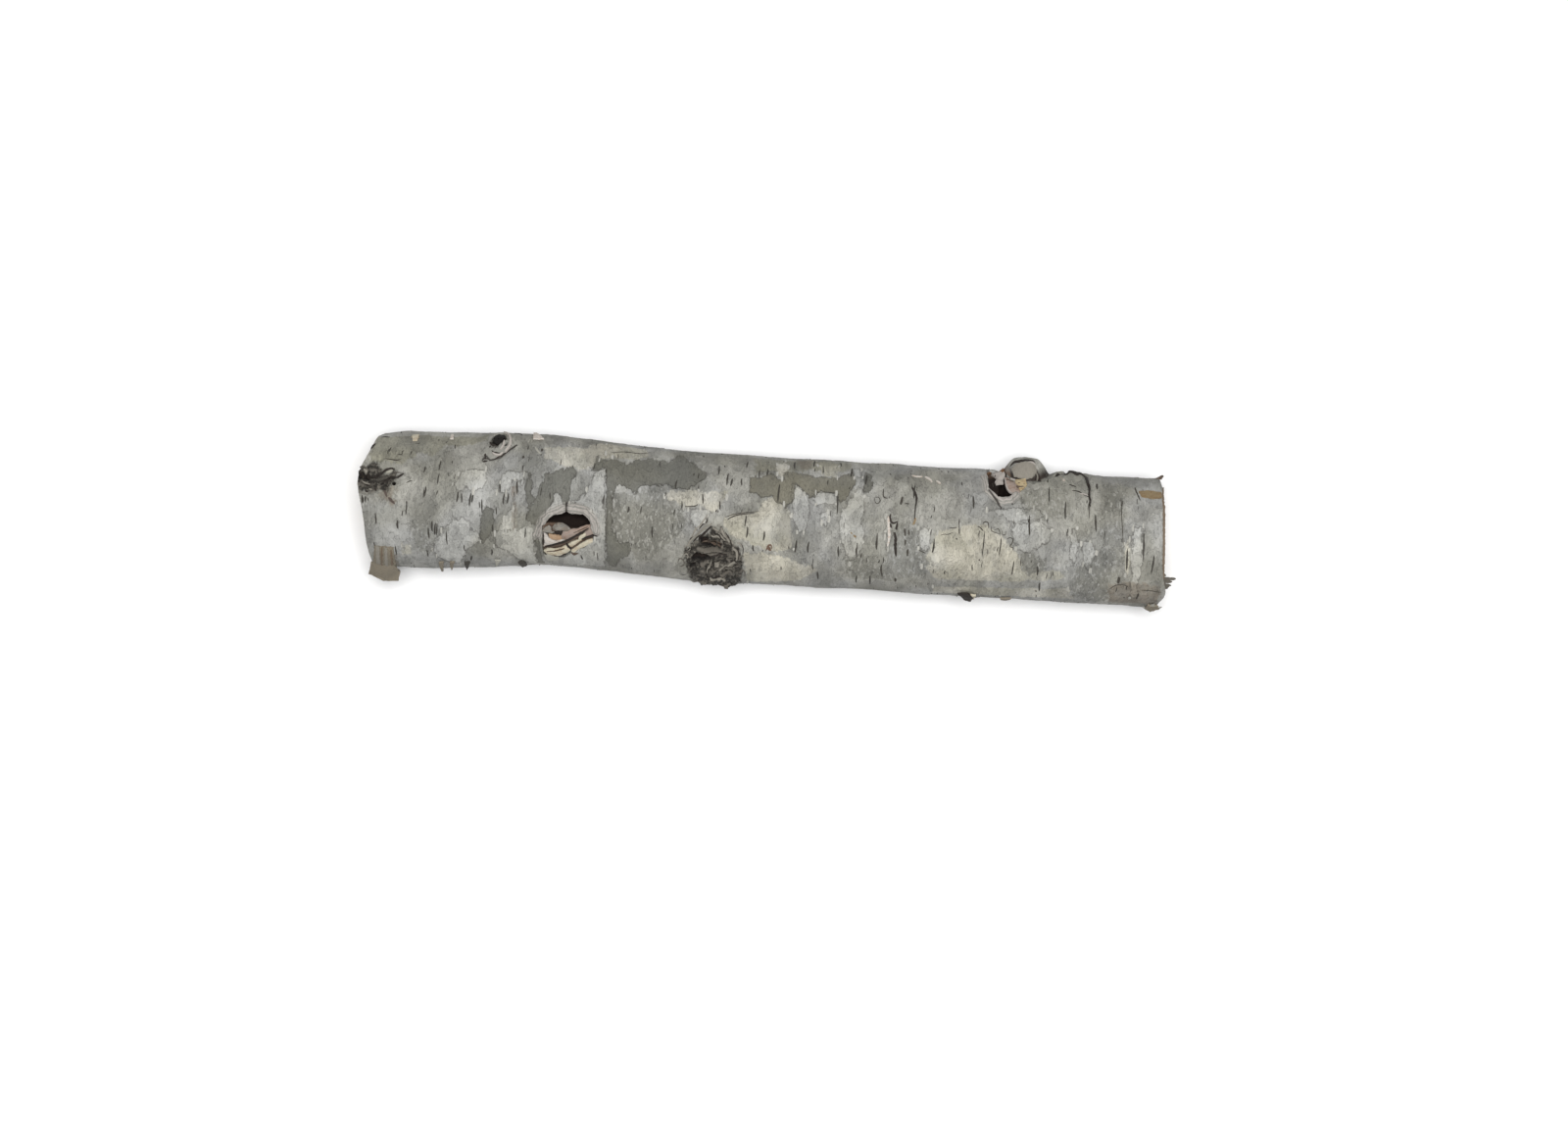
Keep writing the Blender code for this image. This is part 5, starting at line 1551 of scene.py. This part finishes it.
def end_grain_material(name, centre):
    """A sawn end: growth rings round the pith, with saw marks and a stained rim."""
    material, tree, shader = new_material(name, END_ROUGHNESS)
    spot = add(tree, "ShaderNodeTexCoord").outputs["Object"]
    moved = add(tree, "ShaderNodeMapping", {"Vector": spot, "Location": tuple(-c * MM for c in centre)})
    reach = add(tree, "ShaderNodeVectorMath", {0: moved.outputs[0]}, operation="LENGTH").outputs["Value"]
    reach = plus(tree, reach, swing(tree, grain_of(tree, GRAINS["wobble"])), RING_WOBBLE)
    ring = band_of(tree, "ring", work(tree, "FRACT", work(tree, "MULTIPLY", reach, RINGS_A_METRE)))
    colour = blend(tree, work(tree, "MULTIPLY", ring, RING_STRENGTH), shade("wood"), shade("wood_dark"))
    colour = blend(tree, band_of(tree, "pith", reach), colour, shade("brown_wood"))
    stain = work(tree, "MULTIPLY", band_of(tree, "rim_stain", reach), RIM_STAIN_STRENGTH)
    colour = blend(tree, stain, colour, shade("grey_wood"))
    saw = grain_of(tree, GRAINS["saw"])
    tone = work(tree, "ADD", work(tree, "MULTIPLY", saw, SAW_TONE), 1 - SAW_TONE / 2)
    tree.links.new(times(tree, colour, grey(tree, tone)), shader.inputs["Base Color"])
    height = plus(tree, work(tree, "MULTIPLY", ring, RING_BUMP), saw, SAW_BUMP)
    set_bump(tree, shader, height, *END_BUMP)
    return material


def make_bark(groups):
    shell = make_bark_shell()
    cutters = [make_hollow(name, outline, levels) for name, (outline, levels) in HOLLOWS.items()]
    cutters.append(make_beetle_hole())
    cut(shell, cutters)
    dress(shell)
    finish_piece(shell, bark_material(groups))
    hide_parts(NODE)


# Sawn ends: the rings of points in from the rim, the gap to the bark, how far the face is sunk, and its
# unevenness as bumps across and their height.
END_POINTS = 96
END_INSETS = (0.02, 0.06, 0.1, 0.12, 0.12, 0.12, 0.12, 0.12, 0.1)
END_GAP = 0.05
END_SUNK = 0.5
END_WAVES = ((9.0, 0.18), (40.0, 0.1))


def make_sawn_end(name, side):
    """The wood inside the bark at one end, with its rough sawn face."""
    bm = plain_cylinder(END_POINTS)
    face = [f for f in bm.faces if len(f.verts) > 4 and f.normal.x * side > 0.5]
    for inset in END_INSETS:
        bmesh.ops.inset_region(bm, faces=face, thickness=inset, use_even_offset=True)
    bmesh.ops.poke(bm, faces=face)
    cut_x = RIGHT_CUT if side > 0 else LEFT_CUT
    centre = axis_point(cut_x)
    for v in bm.verts:
        outward = math.hypot(v.co.y, v.co.z)
        turn = math.atan2(v.co.y, v.co.z)
        edge_x = right_end(turn) if side > 0 else left_end(turn)
        reach = (bark_radius(edge_x, turn) - BARK_THICKNESS - END_GAP) * outward
        rough = sum(height * noise.noise(Vector((side * 5.0, bumps * v.co.y, bumps * v.co.z)))
                    for bumps, height in END_WAVES)
        front = cut_x - side * END_SUNK + (edge_x - cut_x) * outward * outward + rough
        x = front if v.co.x * side > 0 else cut_x - side * (RECESS - 0.1)
        v.co = Vector((x, centre.y + reach * math.sin(turn), centre.z + reach * math.cos(turn)))
    finish_piece(make_object(bm, name), end_grain_material(name, centre))


# Lenticels, in mm: those seen, with what each end adds to their length, and the small and hidden ones.
LENTICEL_ENDS = 0.6
LENTICEL_WIDTHS = (0.5, 0.8)
LENTICEL_RISE = 0.35
LENTICEL_BEND = 0.25
LENTICEL_ROOT = 0.05
MORE_LENTICELS = 420
SMALL_LENGTHS = (1.2, 3.4)
HIDDEN_LENGTHS = (1.5, 8.0)
SMALL_WIDTHS = (0.28, 0.5)
SMALL_RISE = 0.22


def make_lens():
    """The low, round lens that every lenticel is stretched from."""
    bm = bmesh.new()
    bmesh.ops.create_uvsphere(bm, u_segments=8, v_segments=5, radius=1.0)
    mesh = bpy.data.meshes.new("lens")
    bm.to_mesh(mesh)
    bm.free()
    return mesh


def add_lenticel(bm, lens, x, around, length, width, rise):
    """A low lens of corky bark, long around the branch."""
    start = len(bm.verts)
    bm.from_mesh(lens)
    bm.verts.ensure_lookup_table()
    for v in bm.verts[start:]:
        bend = LENTICEL_BEND * width * math.sin(2.0 * v.co.y + x)
        v.co = place(x + 0.5 * width * v.co.x + bend, around + 0.5 * length * v.co.y,
                     rise * v.co.z - LENTICEL_ROOT)
        v.co.z = max(v.co.z, LOWEST)


def make_lenticels(material):
    """Every lenticel seen, and more by rule where the bark isn't seen or they are too small to read."""
    draw = random.Random(SEED + 1)
    lens = make_lens()
    bm = bmesh.new()
    for view, column, top, bottom in ((view, *row) for view, rows in LENTICELS.items() for row in rows):
        (x0, a0), (x1, a1) = places((view, (column, top), (column, bottom)))
        add_lenticel(bm, lens, (x0 + x1) / 2, (a0 + a1) / 2, abs(a0 - a1) + LENTICEL_ENDS,
                     draw.uniform(*LENTICEL_WIDTHS), LENTICEL_RISE)
    for _ in range(MORE_LENTICELS):
        x = draw.uniform(LEFT_CUT + 2, RIGHT_CUT - 2)
        around = draw.uniform(-GIRTH / 2, GIRTH / 2)
        length = draw.uniform(*(SMALL_LENGTHS if abs(around) < HIDDEN_FROM else HIDDEN_LENGTHS))
        if any(away(x, around, knot) < 1.1 for knot in KNOTS.values()):
            continue
        add_lenticel(bm, lens, x, around, length, draw.uniform(*SMALL_WIDTHS), SMALL_RISE)
    bpy.data.meshes.remove(lens)
    finish_piece(make_object(bm, "lenticels"), material)


def curve_through(points, count):
    """count + 1 points on a smooth curve through the given ones."""
    points = [Vector(p) for p in points]
    smoothed = []
    for i in range(count + 1):
        spot = min(i / count * (len(points) - 1), len(points) - 1.0001)
        k = int(spot)
        f = spot - k
        a, b, c, d = (points[min(max(j, 0), len(points) - 1)] for j in (k - 1, k, k + 1, k + 2))
        smoothed.append(b + 0.5 * f * (c - a + f * (2 * a - 5 * b + 4 * c - d + f * (3 * (b - c) + d - a))))
    return smoothed


# Lines, torn layers and flakes, in mm.
RIBBON_STEP = 0.6
RIBBON_ROOT = 0.3
RIBBON_CROWN = 0.04
RIBBON_UNEVEN = 0.5
RIBBON_TIP = 0.25
SHARD_THICKNESS = 0.6
SHARD_SPACING = 0.5
SHARD_JITTER = 0.2
SHARD_EDGE = 1.2
SHARD_FIBRES = (0.4, 3.2)
SHARD_ROUGHNESS = 0.2
FLAKES_A_PATCH = 6
FLAKE_SIZES = ((0.4, 1.1), (0.8, 2.6), (0.15, 0.5))
FLAKE_TAPER = 1.2
FLAKE_LIFT = 0.04
FLAKE_THICKNESS = 0.14
FLAP_TEAR = 0.35
FLAP_WAVES = 0.3
RIM_FIBRE_WIDTH = 1.3
RIM_FIBRE_LIFT = -0.3
LOWEST = 0.02


def thicken(bm, faces, thickness):
    """Closes a sheet made in (x, around, lift) with a lower side."""
    grown = bmesh.ops.extrude_face_region(bm, geom=faces)["geom"]
    lower = [g for g in grown if isinstance(g, bmesh.types.BMVert)]
    bmesh.ops.translate(bm, verts=lower, vec=(0.0, 0.0, -thickness))


def wrap(bm, name, shade_name, follow=True):
    """Lays a piece made in (x, around, lift) on the bark, following its relief, and finishes it."""
    x = np.array([v.co.x for v in bm.verts])
    around = np.array([v.co.y for v in bm.verts])
    relief = fine_relief(x, around, read_fields(x, around)) if follow else np.zeros(len(x))
    for v, extra in zip(bm.verts, relief):
        v.co = place(v.co.x, v.co.y, v.co.z + extra)
        v.co.z = max(v.co.z, LOWEST)
    finish_piece(make_object(bm, name), MATERIALS[shade_name])


def add_ribbon(bm, path, width, lift):
    """A thin raised line along a path, pointed at both ends, its root sunk in the bark."""
    length = sum(math.dist(a, b) for a, b in zip(path[:-1], path[1:]))
    count = max(round(length / RIBBON_STEP), 3)
    spine = curve_through([(*p, 0.0) for p in path], count)
    made = bmesh.ops.create_grid(bm, x_segments=count, y_segments=2, size=0.5)["verts"]
    faces = list({f for v in made for f in v.link_faces})
    for v in made:
        t, side = v.co.x + 0.5, 2 * v.co.y
        i = round(t * count)
        way = (spine[min(i + 1, count)] - spine[max(i - 1, 0)]).normalized()
        taper = RIBBON_TIP + (1 - RIBBON_TIP) * max(math.sin(math.pi * t), 0.0) ** 0.5
        uneven = 1 + RIBBON_UNEVEN * noise.noise(Vector((1.7 * spine[i].x, 1.7 * spine[i].y, side)))
        reach = side * 0.5 * width * taper * uneven
        height = lift - RIBBON_CROWN * abs(side)
        v.co = Vector((spine[i].x - way.y * reach, spine[i].y + way.x * reach, height))
    thicken(bm, faces, min(max(lift, 0.0), 1.0) + RIBBON_ROOT)


def by_shade(rows):
    """Rows that start with a shade's name, gathered by that name."""
    gathered = {}
    for shade_name, *rest in rows:
        gathered.setdefault(shade_name, []).append(rest)
    return gathered


def make_strokes():
    for feature, (view, strokes) in STROKES.items():
        for shade_name, rows in by_shade(strokes).items():
            bm = bmesh.new()
            for width, lift, *points in rows:
                add_ribbon(bm, places((view, *points), max(lift, 0.0)), width, lift)
            wrap(bm, f"{feature}_{shade_name}_lines", shade_name)


def add_shard(bm, outline, lift, bow, angle):
    """Torn bark or wood with fibres at an angle, its middle higher than its ragged edge."""
    sheet = bmesh.new()
    edge = ragged(outline, SHARD_SPACING, SHARD_JITTER)
    face = sheet.faces.new([sheet.verts.new((*point, 0.0)) for point in edge])
    bmesh.ops.triangulate(sheet, faces=[face])
    bmesh.ops.subdivide_edges(sheet, edges=sheet.edges, cuts=2, use_grid_fill=True)
    x = np.array([v.co.x for v in sheet.verts])
    around = np.array([v.co.y for v in sheet.verts])
    for v, depth in zip(sheet.verts, patch_distance(x, around, [edge])):
        run = v.co.x * math.cos(angle) + v.co.y * math.sin(angle)
        across = v.co.y * math.cos(angle) - v.co.x * math.sin(angle)
        fibre = noise.noise(Vector((SHARD_FIBRES[0] * run, SHARD_FIBRES[1] * across, 3.0)))
        v.co.z = lift + bow * smooth(0.0, SHARD_EDGE, depth) + SHARD_ROUGHNESS * fibre
    thicken(sheet, list(sheet.faces), SHARD_THICKNESS)
    part = bpy.data.meshes.new("shard")
    sheet.to_mesh(part)
    sheet.free()
    bm.from_mesh(part)
    bpy.data.meshes.remove(part)


def make_shards():
    for feature, (view, angle, shards) in SHARDS.items():
        for shade_name, rows in by_shade(shards).items():
            bm = bmesh.new()
            for lift, bow, *points in rows:
                add_shard(bm, places((view, *points), lift), lift, bow, math.radians(angle))
            wrap(bm, f"{feature}_{shade_name}", shade_name, follow=False)


def make_flakes():
    """Thin flakes of paper bark that curl away from the edges of the pale and cream patches."""
    draw = random.Random(SEED + 2)
    bm = bmesh.new()
    for outline in PATCHES["pale"] + PATCHES["cream"]:
        for _ in range(FLAKES_A_PATCH):
            x, around = draw.choice(outline)
            width, length, curl = (draw.uniform(*sizes) for sizes in FLAKE_SIZES)
            made = bmesh.ops.create_grid(bm, x_segments=2, y_segments=3, size=0.5)["verts"]
            faces = list({f for v in made for f in v.link_faces})
            turned = draw.choice((-1, 1))
            for v in made:
                narrow = 1 - FLAKE_TAPER * v.co.y * v.co.y
                lift = FLAKE_LIFT + curl * (v.co.x + 0.5) ** 2
                v.co = Vector((x + turned * width * v.co.x * narrow, around + length * v.co.y, lift))
            thicken(bm, faces, FLAKE_THICKNESS)
    wrap(bm, "bark_flakes", "flake")


# Loose bark at the rims, as in the solid: outlines in (x, around, lift).
FLAPS = {
    "torn_flap": ("brown_paper", 1.0, ((-145.0, -30.0, 0.2), (-146.4, -36.6, 3.4), (-141.4, -37.2, 3.2),
                                       (-141.2, -38.4, 5.6), (-135.4, -38.2, 5.4), (-134.6, -35.6, 2.0),
                                       (-136.6, -29.0, 0.1))),
    "top_curl": ("brown_wood", 0.6, ((146.4, 34.6, 0.0), (148.6, 34.4, 0.5), (149.4, 36.0, 1.4),
                                     (149.2, 37.8, 1.6),
                                   (148.0, 38.2, 0.8), (146.2, 37.4, 0.0))),
    "corner_curl": ("brown_paper", 0.8, ((145.8, -31.0, 0.0), (149.6, -30.6, 0.3), (150.4, -33.6, 0.5),
                                        (147.6, -36.2, 1.0), (145.4, -35.4, 0.2))),
}
FIBRES = (
    ((147.0, -13.9), (150.6, -14.2), (154.0, -14.0)), ((147.2, -15.2), (150.0, -15.6), (152.8, -15.4)),
    ((147.0, -16.6), (149.8, -17.0), (152.6, -17.4)), ((147.2, -18.2), (149.4, -18.6), (151.6, -19.0)),
    ((147.4, -14.6), (149.0, -14.5), (151.8, -14.9)), ((147.4, -17.6), (149.6, -17.9), (152.0, -18.0)),
    ((147.2, -19.4), (148.8, -19.8), (150.6, -20.6)), ((147.2, -12.6), (148.6, -12.4), (150.2, -12.9)),
)


def make_flap(name, outline, thickness, material):
    """A loose piece of bark with a torn edge, from an outline that rises from the bark."""
    bm = bmesh.new()
    faces = [bm.faces.new([bm.verts.new(p) for p in outline])]
    bmesh.ops.triangulate(bm, faces=faces)
    bmesh.ops.subdivide_edges(bm, edges=bm.edges, cuts=4, use_grid_fill=True)
    bmesh.ops.smooth_vert(bm, verts=[v for v in bm.verts if not v.is_boundary], factor=0.5,
                          use_axis_x=True, use_axis_y=True, use_axis_z=True)
    for v in bm.verts:
        torn = noise.noise_vector(Vector((1.1 * v.co.x, 1.1 * v.co.y, 4.0)))
        v.co += FLAP_TEAR * torn if v.is_boundary else Vector((0.0, 0.0, FLAP_WAVES * torn.z))
    bmesh.ops.solidify(bm, geom=bm.faces, thickness=thickness)
    for v in bm.verts:
        v.co = place(*v.co)
    finish_piece(make_object(bm, name), material)


def make_rims():
    for name, (shade_name, thickness, outline) in FLAPS.items():
        make_flap(name, outline, thickness, MATERIALS[shade_name])
    bm = bmesh.new()
    for path in FIBRES:
        add_ribbon(bm, path, RIM_FIBRE_WIDTH, RIM_FIBRE_LIFT)
    wrap(bm, "rim_fibres", "knot_grey", follow=False)


make_camera()
make_light()
make_floor()
GROUPS = {"edge": make_edge_group(), "sheets": make_sheets_group(), "paper": make_paper_group(),
          "fibre": make_fibre_group()}
PAPERS = ("lenticel", "paper", "brown_paper", "line", "dark_wood", "pale_fibre", "cream_dull", "lip",
          "raw_edge", "flake", "red_bud", "scar_fibre", "pit", "knot_grey")
WOODS = ("cream_wood", "pink_wood", "brown_wood", "grey_wood", "tan_wood", "white_wood", "amber_wood",
         "straw_wood", "rust")
MATERIALS = {name: one_shade_material(GROUPS, name, PAPER_FINISH) for name in PAPERS}
MATERIALS.update({name: one_shade_material(GROUPS, name, WOOD_FINISH) for name in WOODS})
make_bark(GROUPS)
make_sawn_end("left_sawn_end", -1)
make_sawn_end("right_sawn_end", 1)
make_lenticels(MATERIALS["lenticel"])
make_strokes()
make_shards()
make_flakes()
make_rims()
